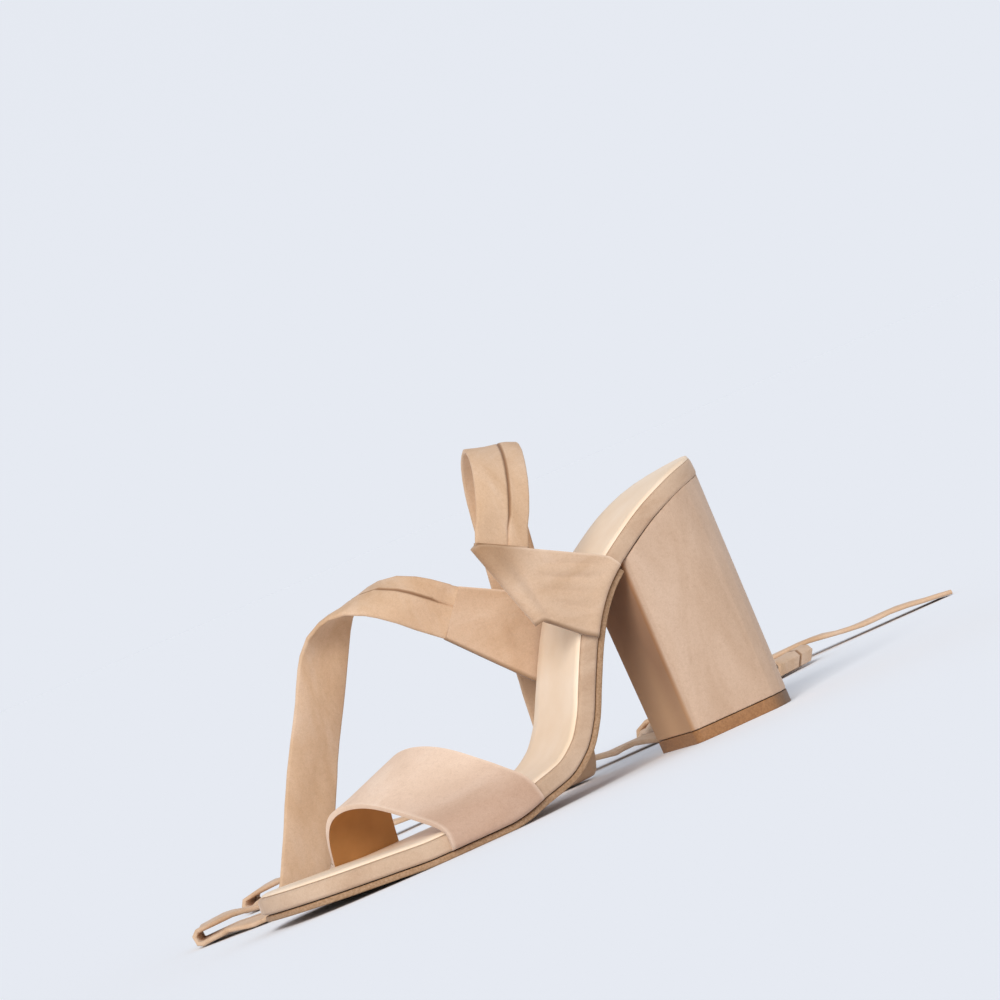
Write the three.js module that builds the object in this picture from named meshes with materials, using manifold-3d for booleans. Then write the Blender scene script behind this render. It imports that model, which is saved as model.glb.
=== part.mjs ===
// Lace up heeled sandal, left shoe, standing empty on its sole.
// Millimetres. Toe towards -Y, heel towards +Y, outer (lateral) side towards +X, floor at Z = 0.
import * as THREE from 'three';
import { mergeVertices } from 'three/addons/utils/BufferGeometryUtils.js';
import Module from 'manifold-3d';

// Driving sizes of the sole, set out along the shoe from the toe tip to the back of the seat
const SHOE_LENGTH = 212.3;
const BALL_WIDTH = 75.5;
const WAIST_WIDTH = 47;
const SEAT_WIDTH = 51;
const SEAT_HEIGHT = 86.5;
const TOE_SPRING = 4;
const TOE_ROUND = 24;
const SEAT_ROUND = 24;
const TOE_TIP_OFFSET = -6;

// Layers under the foot, each lying on the one below
const OUTSOLE_THICKNESS = 2.5;
const OUTSOLE_INSET = 0.7;
const OUTSOLE_EDGE_ROUND = 0.6;
const FOOTBED_THICKNESS = 6.2;
const FOOTBED_EDGE_ROUND = 1.3;
const INSOLE_THICKNESS = 1.1;
const INSOLE_INSET = 1.2;
const INSOLE_EDGE_ROUND = 0.4;

// Block heel and the piece it stands on
const HEEL_BASE_WIDTH = 43;
const HEEL_BASE_LENGTH = 44.5;
const HEEL_BASE_SETBACK = 2.3;
const HEEL_TOP_LENGTH = 46.5;
const HEEL_INSET = 0.8;
const HEEL_CORNER = 15;
const TOP_PIECE_THICKNESS = 4.6;

// Straps
const STRAP_THICKNESS = 2;
const STRAP_TUCK = 8;
const BAND_CREST_FRONT = 20.5;
const BAND_CREST_REAR = 30.8;
const TAB_FOLD_RADIUS = 2;
const LATERAL_TAB_OFFSET = 2.5;
const MEDIAL_TAB_OFFSET = 4;
const TIE_WIDTH = 20;
const TIE_THICKNESS = 1.8;
const TIE_LENGTH = 600;

// Curved pieces meet with this gap
const GAP = 0.3;

// Underside of the outsole: a row for each station, height as shares of toe spring and seat height
const SOLE_RISE = [
  { at: 0.000, spring: 1.00, seat: 0.000 },
  { at: 0.095, spring: 0.58, seat: 0.000 },
  { at: 0.178, spring: 0.25, seat: 0.000 },
  { at: 0.251, spring: 0.00, seat: 0.000 },
  { at: 0.388, spring: 0.00, seat: 0.000 },
  { at: 0.423, spring: 0.00, seat: 0.010 },
  { at: 0.463, spring: 0.00, seat: 0.035 },
  { at: 0.536, spring: 0.00, seat: 0.075 },
  { at: 0.587, spring: 0.00, seat: 0.146 },
  { at: 0.625, spring: 0.00, seat: 0.252 },
  { at: 0.659, spring: 0.00, seat: 0.400 },
  { at: 0.692, spring: 0.00, seat: 0.546 },
  { at: 0.719, spring: 0.00, seat: 0.647 },
  { at: 0.754, spring: 0.00, seat: 0.740 },
  { at: 0.808, spring: 0.00, seat: 0.830 },
  { at: 0.874, spring: 0.00, seat: 0.917 },
  { at: 0.934, spring: 0.00, seat: 0.969 },
  { at: 1.000, spring: 0.00, seat: 1.000 },
];

// Outline seen from above before the ends are rounded: edges as shares of the named width
const SOLE_OUTLINE = [
  { at: 0.000, width: BALL_WIDTH, lateral: 0.370, medial: 0.500 },
  { at: 0.037, width: BALL_WIDTH, lateral: 0.370, medial: 0.480 },
  { at: 0.088, width: BALL_WIDTH, lateral: 0.385, medial: 0.470 },
  { at: 0.188, width: BALL_WIDTH, lateral: 0.465, medial: 0.500 },
  { at: 0.288, width: BALL_WIDTH, lateral: 0.508, medial: 0.490 },
  { at: 0.389, width: BALL_WIDTH, lateral: 0.510, medial: 0.455 },
  { at: 0.449, width: BALL_WIDTH, lateral: 0.485, medial: 0.410 },
  { at: 0.519, width: BALL_WIDTH, lateral: 0.420, medial: 0.360 },
  { at: 0.589, width: WAIST_WIDTH, lateral: 0.580, medial: 0.530 },
  { at: 0.690, width: WAIST_WIDTH, lateral: 0.508, medial: 0.510 },
  { at: 0.790, width: SEAT_WIDTH, lateral: 0.488, medial: 0.480 },
  { at: 0.890, width: SEAT_WIDTH, lateral: 0.500, medial: 0.500 },
  { at: 1.000, width: SEAT_WIDTH, lateral: 0.470, medial: 0.470 },
];

// Toe band between its two edges of the footbed: height as a share of its crest
const BAND_ARCH = [
  { across: 0.00, height: 0.00 },
  { across: 0.02, height: 0.13 },
  { across: 0.09, height: 0.30 },
  { across: 0.20, height: 0.52 },
  { across: 0.35, height: 0.77 },
  { across: 0.50, height: 0.94 },
  { across: 0.63, height: 1.00 },
  { across: 0.76, height: 0.96 },
  { across: 0.88, height: 0.78 },
  { across: 0.96, height: 0.44 },
  { across: 1.00, height: 0.00 },
];

// Where the toe band's edges run along the shoe, as shares of its length
const BAND_EDGES = [
  { across: 0.00, front: 0.276, rear: 0.463 },
  { across: 0.12, front: 0.260, rear: 0.437 },
  { across: 0.30, front: 0.238, rear: 0.400 },
  { across: 0.50, front: 0.219, rear: 0.364 },
  { across: 0.75, front: 0.196, rear: 0.331 },
  { across: 1.00, front: 0.186, rear: 0.310 },
];

// Quarter tabs: where they stand on the footbed and where they end, as shares of the shoe's
// length and of the seat's height, and how far they lean outwards there; the heading is their
// slope, from the heel up towards the toe
const TABS = {
  lateral: { side: 1, front: 0.694, rear: 0.776, endY: 0.572, endZ: 0.925, lean: LATERAL_TAB_OFFSET },
  medial: { side: -1, front: 0.668, rear: 0.748, endY: 0.547, endZ: 0.897, lean: MEDIAL_TAB_OFFSET },
};
const LATERAL_TAB_HEADING = 152.4;
const LATERAL_FOLD_WIDTH = 25;
const LATERAL_FOLD_LINE = 108;
const MEDIAL_TAB_HEADING = 140;

// Each tie: straight runs with a bend after each, the runs as shares of the tie's length and the
// bends' radii as shares of its width. The slant is the bend line's angle to the strip, a
// positive turn lifts the strip's seam side, and the bend that lands is worked out.
const LATERAL_TIE = [
  { run: 0.083, slant: 102, turn: -165, radius: 1.35 },
  { lands: true, radius: 0.7 },
  { run: 0.097, slant: 133, turn: 180, radius: 0.13 },
  { run: 0.113, slant: 137, turn: -180, radius: 0.13 },
  { run: 0.110, slant: 135, turn: 180, radius: 0.13 },
  { run: 0.107, slant: 134, turn: -180, radius: 0.13 },
  { run: 0.107, slant: 136, turn: 180, radius: 0.13 },
];
const MEDIAL_TIE = [
  { run: 0.063, slant: 52.5, turn: -165, radius: 0.75 },
  { lands: true, radius: 0.7 },
  { run: 0.100, slant: 129, turn: 180, radius: 0.13 },
  { run: 0.117, slant: 135, turn: -180, radius: 0.13 },
  { run: 0.113, slant: 133, turn: 180, radius: 0.13 },
  { run: 0.110, slant: 136, turn: -180, radius: 0.13 },
  { run: 0.110, slant: 134, turn: 180, radius: 0.13 },
];

// How finely the curved forms are divided
const MIDDLE_STEPS = 40;
const END_STEPS = 7;
const FIRST_END_ANGLE = 12;
const HEEL_SIDE_STEPS = 5;
const HEEL_BACK_ANGLES = [75, 60, 45, 30, 15, 8];
const HEEL_LEVELS = 4;
const STRAP_STEPS = 8;
const BAND_STEPS = 15;
const TAB_STEPS = 5;
const TAB_FOLD_STEPS = 4;
const TIE_FOLD_STEPS = 3;
const TIE_BEND_STEP = 12;

const wasm = await Module();
wasm.setup();

const V = (x, y, z) => new THREE.Vector3(x, y, z);
const radians = THREE.MathUtils.degToRad;
const lerp = THREE.MathUtils.lerp;

// Evenly spaced shares from 0 to 1
const steps = (count) => Array.from({ length: count + 1 }, (_, i) => i / count);

// A smooth curve through the rows of a table that never overshoots them
function curve(rows, key, value) {
  const x = rows.map((row) => row[key]);
  const y = rows.map(value);
  const slope = x.slice(1).map((right, i) => (y[i + 1] - y[i]) / (right - x[i]));
  const tangent = x.map((_, i) => {
    const before = slope[Math.max(i - 1, 0)];
    const after = slope[Math.min(i, slope.length - 1)];
    return before * after <= 0 ? 0 : (2 * before * after) / (before + after);
  });
  return (at) => {
    let i = 0;
    while (i < x.length - 2 && at > x[i + 1]) i += 1;
    const step = x[i + 1] - x[i];
    const t = THREE.MathUtils.clamp((at - x[i]) / step, 0, 1);
    const rise = (3 - 2 * t) * t * t;
    const leave = step * tangent[i] * t * (1 - t) * (1 - t);
    const arrive = step * tangent[i + 1] * t * t * (1 - t);
    return y[i] * (1 - rise) + y[i + 1] * rise + leave - arrive;
  };
}

// The sole's own surface: stations along the shoe, edges across it, height along its normal
const riseAt = curve(SOLE_RISE, 'at', (row) => row.spring * TOE_SPRING + row.seat * SEAT_HEIGHT);
const lateralAt = curve(SOLE_OUTLINE, 'at', (row) => row.width * row.lateral);
const medialAt = curve(SOLE_OUTLINE, 'at', (row) => -row.width * row.medial);

function soleNormal(y) {
  const reach = 0.4;
  const share = (offset) => THREE.MathUtils.clamp((y + offset) / SHOE_LENGTH, 0, 1);
  const run = (share(reach) - share(-reach)) * SHOE_LENGTH;
  const rise = riseAt(share(reach)) - riseAt(share(-reach));
  return V(0, -rise, run).normalize();
}

function soleEdge(y, side, inset) {
  const full = side > 0 ? lateralAt(y / SHOE_LENGTH) : medialAt(y / SHOE_LENGTH);
  const toToe = THREE.MathUtils.clamp((y - inset) / (TOE_ROUND - inset), 0, 1);
  const toSeat = THREE.MathUtils.clamp((SHOE_LENGTH - inset - y) / (SEAT_ROUND - inset), 0, 1);
  const middle = toToe < 1 ? TOE_TIP_OFFSET : 0;
  const rounding = Math.sqrt(1 - (1 - toToe) ** 2) * Math.sqrt(1 - (1 - toSeat) ** 2);
  return middle + (full - middle - side * inset) * rounding;
}

// A point of the sole: station y, a place across it from -1 to 1, height above the underside
function solePoint(y, across, inset, height) {
  const lateral = soleEdge(y, 1, inset);
  const medial = soleEdge(y, -1, inset);
  const x = lerp(medial, lateral, (across + 1) / 2);
  return V(x, y, riseAt(y / SHOE_LENGTH)).addScaledVector(soleNormal(y), height);
}

// A point beside the sole's edge, so far outwards from it and so far above the outsole's top
function besideEdge(y, side, out, up) {
  const point = solePoint(y, side, 0, OUTSOLE_THICKNESS + up);
  point.x += side * out;
  return point;
}

// A closed solid through rings of points, each end closed by a ladder of faces across its ring
function loft(rings) {
  const count = rings[0].length;
  const positions = rings.flat().flatMap((p) => [p.x, p.y, p.z]);
  const triangles = [];
  for (let r = 0; r < rings.length - 1; r += 1) {
    for (let k = 0; k < count; k += 1) {
      const a = r * count + k;
      const b = r * count + ((k + 1) % count);
      triangles.push(a, b, b + count, a, b + count, a + count);
    }
  }
  const closeEnd = (first, flip) => {
    for (let k = 0; k < count / 2 - 1; k += 1) {
      const [a, b, c, d] = [k, k + 1, count - 2 - k, count - 1 - k].map((place) => first + place);
      triangles.push(...(flip ? [a, c, b, a, d, c] : [a, b, c, a, c, d]));
    }
  };
  closeEnd(0, true);
  closeEnd((rings.length - 1) * count, false);
  const geometry = new THREE.BufferGeometry();
  geometry.setAttribute('position', new THREE.Float32BufferAttribute(positions, 3));
  geometry.setIndex(triangles);
  return volume(geometry) < 0 ? turned(geometry) : geometry;
}

function volume(geometry) {
  const p = geometry.getAttribute('position');
  const index = geometry.getIndex();
  let sum = 0;
  for (let i = 0; i < index.count; i += 3) {
    const [a, b, c] = [0, 1, 2].map((k) => V(0, 0, 0).fromBufferAttribute(p, index.getX(i + k)));
    sum += a.dot(b.cross(c)) / 6;
  }
  return sum;
}

function turned(geometry) {
  const index = Array.from(geometry.getIndex().array);
  for (let i = 0; i < index.length; i += 3) {
    [index[i + 1], index[i + 2]] = [index[i + 2], index[i + 1]];
  }
  geometry.setIndex(index);
  return geometry;
}

function solid(geometry) {
  const merged = mergeVertices(geometry, 1e-4);
  return new wasm.Manifold(new wasm.Mesh({
    numProp: 3,
    vertProperties: new Float32Array(merged.getAttribute('position').array),
    triVerts: new Uint32Array(merged.getIndex().array),
  }));
}

function cutBy(geometry, cutters) {
  let body = solid(geometry);
  for (const cutter of cutters) body = body.subtract(solid(cutter));
  const mesh = body.getMesh();
  const result = new THREE.BufferGeometry();
  result.setAttribute('position', new THREE.Float32BufferAttribute(mesh.vertProperties, 3));
  result.setIndex(Array.from(mesh.triVerts));
  return result;
}

// Stations evenly spaced along the sole's curve, closer together where its ends are round
function layerStations() {
  const samples = 400;
  const points = steps(samples);
  const travelled = [0];
  points.slice(1).forEach((share, i) => {
    const rise = riseAt(share) - riseAt(points[i]);
    travelled.push(travelled[i] + Math.hypot(rise, SHOE_LENGTH / samples));
  });
  const total = travelled[samples];
  const stationAt = (length) => {
    const after = Math.max(1, travelled.findIndex((value) => value >= length));
    const [low, high] = [travelled[after - 1], travelled[after]];
    return lerp(points[after - 1], points[after], (length - low) / (high - low));
  };
  const toe = travelled[Math.round(TOE_ROUND / SHOE_LENGTH * samples)];
  const seat = total - travelled[Math.round((1 - SEAT_ROUND / SHOE_LENGTH) * samples)];
  const angles = Array.from({ length: END_STEPS }, (_, i) => lerp(FIRST_END_ANGLE, 90, i / END_STEPS));
  const start = angles.map((angle) => toe * (1 - Math.cos(radians(angle))));
  const end = angles.map((angle) => total - seat * (1 - Math.cos(radians(angle)))).reverse();
  const middle = steps(MIDDLE_STEPS).map((share) => lerp(toe, total - seat, share));
  return [...start, ...middle, ...end].map(stationAt);
}

const fullStations = layerStations();

// A layer of the sole: its section is a loop of places across it, insets and heights
function soleLayer(section, stations) {
  return loft(stations.map((share) => section.map(({ across, inset, height }) => {
    const y = lerp(inset, SHOE_LENGTH - inset, share);
    return solePoint(y, across, inset, height);
  })));
}

function layerSection(bottom, top, inset, edgeRound) {
  const low = { inset: inset + edgeRound / 2, height: bottom };
  const lowSide = { inset, height: bottom + edgeRound };
  const highSide = { inset, height: top - edgeRound };
  const high = { inset: inset + edgeRound, height: top };
  return [
    { across: -1, ...low }, { across: 0, ...low }, { across: 1, ...low },
    { across: 1, ...lowSide }, { across: 1, ...highSide },
    { across: 1, ...high }, { across: 0, ...high }, { across: -1, ...high },
    { across: -1, ...highSide }, { across: -1, ...lowSide },
  ];
}

const heelFront = SHOE_LENGTH - HEEL_INSET - HEEL_TOP_LENGTH;

// The outsole stops at the heel's breast
function makeOutsole() {
  const end = (heelFront - 2 * GAP) / SHOE_LENGTH;
  const section = layerSection(0, OUTSOLE_THICKNESS - GAP, OUTSOLE_INSET, OUTSOLE_EDGE_ROUND);
  return soleLayer(section, [...fullStations.filter((share) => share < end), end]);
}

function makeFootbed() {
  const top = OUTSOLE_THICKNESS + FOOTBED_THICKNESS;
  const section = layerSection(OUTSOLE_THICKNESS, top, 0, FOOTBED_EDGE_ROUND);
  return soleLayer(section, fullStations);
}

function makeInsole() {
  const bottom = OUTSOLE_THICKNESS + FOOTBED_THICKNESS + GAP;
  const section = layerSection(bottom, bottom + INSOLE_THICKNESS, INSOLE_INSET, INSOLE_EDGE_ROUND);
  return soleLayer(section, fullStations);
}

// Block heel: sections from breast to back, each side a line from the base up to the seat
function heelSolid(low, high, share) {
  const corner = HEEL_CORNER / HEEL_BASE_LENGTH;
  const straight = steps(HEEL_SIDE_STEPS).map((step) => step * (1 - corner));
  const round = HEEL_BACK_ANGLES.map((angle) => 1 - corner * (1 - Math.cos(radians(angle))));
  const rings = [...straight, ...round].map((station) => {
    const side = (sign) => steps(HEEL_LEVELS).map((level) => {
      const blend = lerp(share[0], share[1], level);
      const baseY = SHOE_LENGTH - HEEL_BASE_SETBACK - HEEL_BASE_LENGTH * (1 - station);
      const topY = SHOE_LENGTH - HEEL_INSET - HEEL_TOP_LENGTH * (1 - station);
      const fromBack = Math.min(1, (1 - station) / corner);
      const baseX = sign * HEEL_BASE_WIDTH / 2 * Math.sqrt(1 - (1 - fromBack) ** 2);
      const topX = soleEdge(topY, sign, HEEL_INSET);
      const x = lerp(baseX, topX, blend);
      const y = lerp(baseY, topY, blend);
      return V(x, y, lerp(low, high(y), level));
    });
    return [...side(1), ...side(-1).reverse()];
  });
  return loft(rings);
}

function seatUnderside(y) {
  const normal = soleNormal(y);
  return riseAt(THREE.MathUtils.clamp(y / SHOE_LENGTH, 0, 1)) + (OUTSOLE_THICKNESS - GAP) / normal.z;
}

function makeHeel() {
  const low = TOP_PIECE_THICKNESS + GAP;
  return heelSolid(low, seatUnderside, [low / SEAT_HEIGHT, 1]);
}

function makeTopPiece() {
  return heelSolid(0, () => TOP_PIECE_THICKNESS, [0, TOP_PIECE_THICKNESS / SEAT_HEIGHT]);
}

// A strap: rows across it, each giving a point for a share of its width, and a wall of its real
// thickness. grow widens it all round, for the room that its neighbours leave it.
function strapSolid(rows, grow) {
  const shares = steps(STRAP_STEPS);
  const half = STRAP_THICKNESS / 2 + grow;
  const nudge = 0.02;
  const rings = rows.map((row, i) => {
    const before = rows[Math.max(i - 1, 0)];
    const after = rows[Math.min(i + 1, rows.length - 1)];
    const spare = grow / row(0).distanceTo(row(1));
    const wall = (sign) => shares.map((place) => {
      const share = lerp(-spare, 1 + spare, place);
      const along = after(share).sub(before(share));
      const width = row(share + nudge).sub(row(share - nudge));
      const longer = grow * (i === 0 ? -2 : 2 * Number(i === rows.length - 1));
      const end = row(share).addScaledVector(along.clone().normalize(), longer);
      return end.addScaledVector(along.cross(width).normalize(), sign * half);
    });
    return [...wall(1), ...wall(-1).reverse()];
  });
  return loft(rings);
}

// The strap's foot: tucked under the footbed, out round its edge and up its side
function strapFoot(side, yAt) {
  const under = STRAP_THICKNESS / 2;
  const beside = STRAP_THICKNESS / 2 + GAP;
  const corner = beside * Math.SQRT1_2;
  const route = [
    { out: -STRAP_TUCK, up: under },
    { out: -STRAP_TUCK / 2, up: under },
    { out: 0, up: under },
    { out: corner, up: under + beside - corner },
    { out: beside, up: under + beside },
    { out: beside, up: FOOTBED_THICKNESS - FOOTBED_EDGE_ROUND },
  ];
  return route.map(({ out, up }) => (share) => besideEdge(yAt(share), side, out, up));
}

const bandHeight = curve(BAND_ARCH, 'across', (row) => row.height);
const bandFront = curve(BAND_EDGES, 'across', (row) => row.front * SHOE_LENGTH);
const bandRear = curve(BAND_EDGES, 'across', (row) => row.rear * SHOE_LENGTH);

// A point of the toe band: its place across the foot, and from its front edge to its rear one
function bandPoint(across, share) {
  const y = lerp(bandFront(across), bandRear(across), share);
  const crest = lerp(BAND_CREST_FRONT, BAND_CREST_REAR, share);
  const point = solePoint(y, 1 - 2 * across, 0, OUTSOLE_THICKNESS + FOOTBED_THICKNESS);
  point.x += (STRAP_THICKNESS / 2 + GAP) * (1 - 2 * across);
  point.z += crest * bandHeight(across);
  return point;
}

function bandRows() {
  const places = steps(BAND_STEPS).map((step) => (1 - Math.cos(Math.PI * step)) / 2);
  const arch = places.map((across) => (share) => bandPoint(across, share));
  const footY = (across) => (share) => lerp(bandFront(across), bandRear(across), share);
  return [...strapFoot(1, footY(0)), ...arch, ...strapFoot(-1, footY(1)).reverse()];
}

// A direction in the upright plane along the shoe, its angle counted from the heel upwards
const heading = (degrees) => V(0, Math.cos(radians(degrees)), Math.sin(radians(degrees)));

// A quarter tab's rows, from its foot on the footbed to its free end
function tabRows(tab, end) {
  const yAt = (share) => lerp(tab.front, tab.rear, share) * SHOE_LENGTH;
  const beside = STRAP_THICKNESS / 2 + GAP;
  const top = (share) => besideEdge(yAt(share), tab.side, beside, FOOTBED_THICKNESS);
  const panel = steps(TAB_STEPS).map((reach) => (share) => top(share).lerp(end(share), reach));
  return [...strapFoot(tab.side, yAt), ...panel];
}

function tabEnd(tab) {
  const edge = soleEdge((tab.front + tab.rear) / 2 * SHOE_LENGTH, tab.side, 0);
  const x = edge + tab.side * (STRAP_THICKNESS / 2 + GAP + tab.lean);
  return V(x, tab.endY * SHOE_LENGTH, tab.endZ * SEAT_HEIGHT);
}

const between = (low, high) => (share) => V(0, 0, 0).lerpVectors(low, high, share);

// The lateral tab folds back behind itself along a slanting line, and its tie goes up from there
function lateralTab() {
  const middle = tabEnd(TABS.lateral);
  const slant = radians(LATERAL_TAB_HEADING - LATERAL_FOLD_LINE);
  const crease = heading(LATERAL_FOLD_LINE).multiplyScalar(LATERAL_FOLD_WIDTH / Math.sin(slant) / 2);
  const low = middle.clone().sub(crease);
  const high = middle.clone().add(crease);
  const fold = steps(TAB_FOLD_STEPS).slice(1).map((step) => {
    const forward = TAB_FOLD_RADIUS * Math.sin(Math.PI * step);
    const shift = heading(LATERAL_FOLD_LINE + 90).multiplyScalar(forward);
    shift.x -= TAB_FOLD_RADIUS * (1 - Math.cos(Math.PI * step));
    return between(low.clone().add(shift), high.clone().add(shift));
  });
  const tieHeading = 2 * LATERAL_FOLD_LINE - LATERAL_TAB_HEADING;
  const back = fold[fold.length - 1];
  const endHigh = back(1).addScaledVector(heading(tieHeading), GAP * 3);
  const endLow = endHigh.clone().addScaledVector(heading(tieHeading - 90), TIE_WIDTH);
  const end = between(endLow, endHigh);
  const flap = steps(TAB_FOLD_STEPS).slice(1).map((reach) => (
    (share) => back(share).lerp(end(share), reach)));
  return { rows: [...tabRows(TABS.lateral, between(low, high)), ...fold, ...flap], end, tieHeading };
}

function medialTab() {
  const middle = tabEnd(TABS.medial);
  const across = heading(MEDIAL_TAB_HEADING - 90).multiplyScalar(TIE_WIDTH / 2);
  const end = between(middle.clone().sub(across), middle.clone().add(across));
  return { rows: tabRows(TABS.medial, end), end, tieHeading: MEDIAL_TAB_HEADING };
}

// Ties are flat strips bent without stretching. A strip point has a place along it, across it
// and above its seam side; each bend turns everything beyond its line.
function bent(bend, point, whole) {
  const cos = Math.cos(bend.slant);
  const sin = Math.sin(bend.slant);
  const sign = Math.sign(bend.turn);
  const arc = bend.radius * Math.abs(bend.turn);
  const u = (point.x - bend.at) * cos + point.y * sin;
  const d = (point.x - bend.at) * sin - point.y * cos + arc / 2;
  const onArc = whole ? arc : THREE.MathUtils.clamp(d, 0, arc);
  const angle = onArc / bend.radius;
  const reach = bend.radius - sign * point.z;
  const forward = reach * Math.sin(angle) + (d - onArc) * Math.cos(angle) - arc / 2;
  const lift = bend.radius - reach * Math.cos(angle) + (d - onArc) * Math.sin(angle);
  return V(bend.at + u * cos + forward * sin, u * sin - forward * cos, sign * lift);
}

function frameBeyond(bend) {
  const origin = bent(bend, V(0, 0, 0), true);
  const axis = (x, y, z) => bent(bend, V(x, y, z), true).sub(origin);
  const frame = new THREE.Matrix4().makeBasis(axis(1, 0, 0), axis(0, 1, 0), axis(0, 0, 1));
  return frame.setPosition(origin);
}

// The bend that lays a falling strip flat on the floor
function landing(frame, radius) {
  const along = V(0, 0, 0).setFromMatrixColumn(frame, 0);
  const across = V(0, 0, 0).setFromMatrixColumn(frame, 1);
  const normal = V(0, 0, 0).setFromMatrixColumn(frame, 2);
  const slant = Math.atan2(-along.z, across.z);
  const down = along.z * Math.sin(slant) - across.z * Math.cos(slant);
  const turn = Math.atan(-down / normal.z);
  const floorAt = (TIE_THICKNESS / 2 + GAP - frame.elements[14]) / along.z;
  const tangent = radius * Math.tan(Math.abs(turn) / 2) - radius * Math.abs(turn) / 2;
  return { at: floorAt - tangent / Math.sin(slant), slant, turn, radius };
}

function tieBends(start, rows) {
  let frame = start;
  let at = 0;
  return rows.map((row) => {
    const radius = row.radius * TIE_WIDTH;
    const place = at + row.run * TIE_LENGTH;
    const chosen = { at: place, slant: radians(row.slant), turn: radians(row.turn), radius };
    const bend = row.lands ? landing(frame, radius) : chosen;
    const placed = { ...bend, before: frame };
    frame = frame.clone().multiply(frameBeyond(bend));
    at = bend.at;
    return placed;
  });
}

function tieSection() {
  const half = TIE_WIDTH / 2;
  const thick = TIE_THICKNESS / 2;
  const side = half - thick / 2;
  return [[half, thick / 2], [side, thick], [-side, thick], [-half, thick / 2],
    [-half, -thick / 2], [-side, -thick], [side, -thick], [half, -thick / 2]];
}

// Rings across the strip, parallel to each bend line; a fold's step is let down before the next
function tieSolid({ end, tieHeading }, rows) {
  const origin = end(0.5).addScaledVector(heading(tieHeading), GAP);
  const start = new THREE.Matrix4().makeBasis(heading(tieHeading), heading(tieHeading + 90), V(1, 0, 0));
  start.setPosition(origin);
  const bends = tieBends(start, rows);
  const ring = (bend, d, drop, place) => tieSection().map(([across, high]) => {
    const u = (across + d * Math.cos(bend.slant)) / Math.sin(bend.slant);
    const s = bend.at + u * Math.cos(bend.slant) + d * Math.sin(bend.slant);
    const point = place(V(s, across, high));
    point.z -= drop;
    return point;
  });
  const square = (at) => ({ at, slant: Math.PI / 2, turn: 0, radius: 1 });
  const rings = [ring(square(0), 0, 0, (p) => p.applyMatrix4(start))];
  let drop = 0;
  bends.forEach((bend, i) => {
    const arc = bend.radius * Math.abs(bend.turn);
    const folded = Math.abs(bend.turn) === Math.PI;
    steps(folded ? TIE_FOLD_STEPS : Math.ceil(arc / TIE_BEND_STEP)).forEach((step) => {
      const d = lerp(-arc / 2, arc / 2, step);
      rings.push(ring(bend, d, drop, (p) => bent(bend, p, false).applyMatrix4(bend.before)));
    });
    const beyond = bend.before.clone().multiply(frameBeyond(bend));
    const nextAt = i + 1 < bends.length ? bends[i + 1].at : TIE_LENGTH;
    if (folded) {
      const middle = square(lerp(bend.at, nextAt, 0.5));
      rings.push(ring(middle, 0, drop + bend.radius, (p) => p.applyMatrix4(beyond)));
      drop += 2 * bend.radius;
    }
    if (i + 1 === bends.length) {
      rings.push(ring(square(TIE_LENGTH), 0, drop, (p) => p.applyMatrix4(beyond)));
    }
  });
  return loft(rings);
}

// The finished shoe: its middle over the origin, its sole on the floor
const suede = { color: '#c8a888', roughness: 0.95, metalness: 0 };
const group = new THREE.Group();

function addPiece(name, geometry, finish) {
  const mesh = new THREE.Mesh(geometry, new THREE.MeshStandardMaterial(finish));
  mesh.name = name;
  group.add(mesh);
  return mesh;
}

const lateral = lateralTab();
const medial = medialTab();
const straps = { band: bandRows(), lateral: lateral.rows, medial: medial.rows };
const roomFor = Object.values(straps).map((rows) => strapSolid(rows, GAP));

const shoe = [
  addPiece('outsole', makeOutsole(), { color: '#8a6a4c', roughness: 0.7, metalness: 0 }),
  addPiece('footbed', cutBy(makeFootbed(), roomFor), suede),
  addPiece('insole', makeInsole(), { color: '#f0d8bd', roughness: 0.5, metalness: 0 }),
  addPiece('heel_block', makeHeel(), suede),
  addPiece('heel_top_piece', makeTopPiece(), { color: '#96693f', roughness: 0.6, metalness: 0 }),
  addPiece('toe_band', strapSolid(straps.band, 0), { ...suede, color: '#e2c4a8' }),
  addPiece('lateral_tab', strapSolid(straps.lateral, 0), suede),
  addPiece('medial_tab', strapSolid(straps.medial, 0), suede),
];
addPiece('lateral_tie', tieSolid(lateral, LATERAL_TIE), { ...suede, color: '#d7b491' });
addPiece('medial_tie', tieSolid(medial, MEDIAL_TIE), { ...suede, color: '#d7b491' });

const box = shoe.reduce((sum, mesh) => sum.expandByObject(mesh), new THREE.Box3());
const centre = box.getCenter(V(0, 0, 0));
group.children.forEach((mesh) => mesh.position.set(-centre.x, -centre.y, -box.min.z));

export default group;
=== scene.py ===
# %% [markdown]
# # A lace up heeled sandal in suede
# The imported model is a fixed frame: it says where each piece of the shoe is and how large.
# This script dresses it. Every piece is made again with its true rounding, thickness and
# softness, gets the finish of its material, and takes the place of the plain solid.

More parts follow.
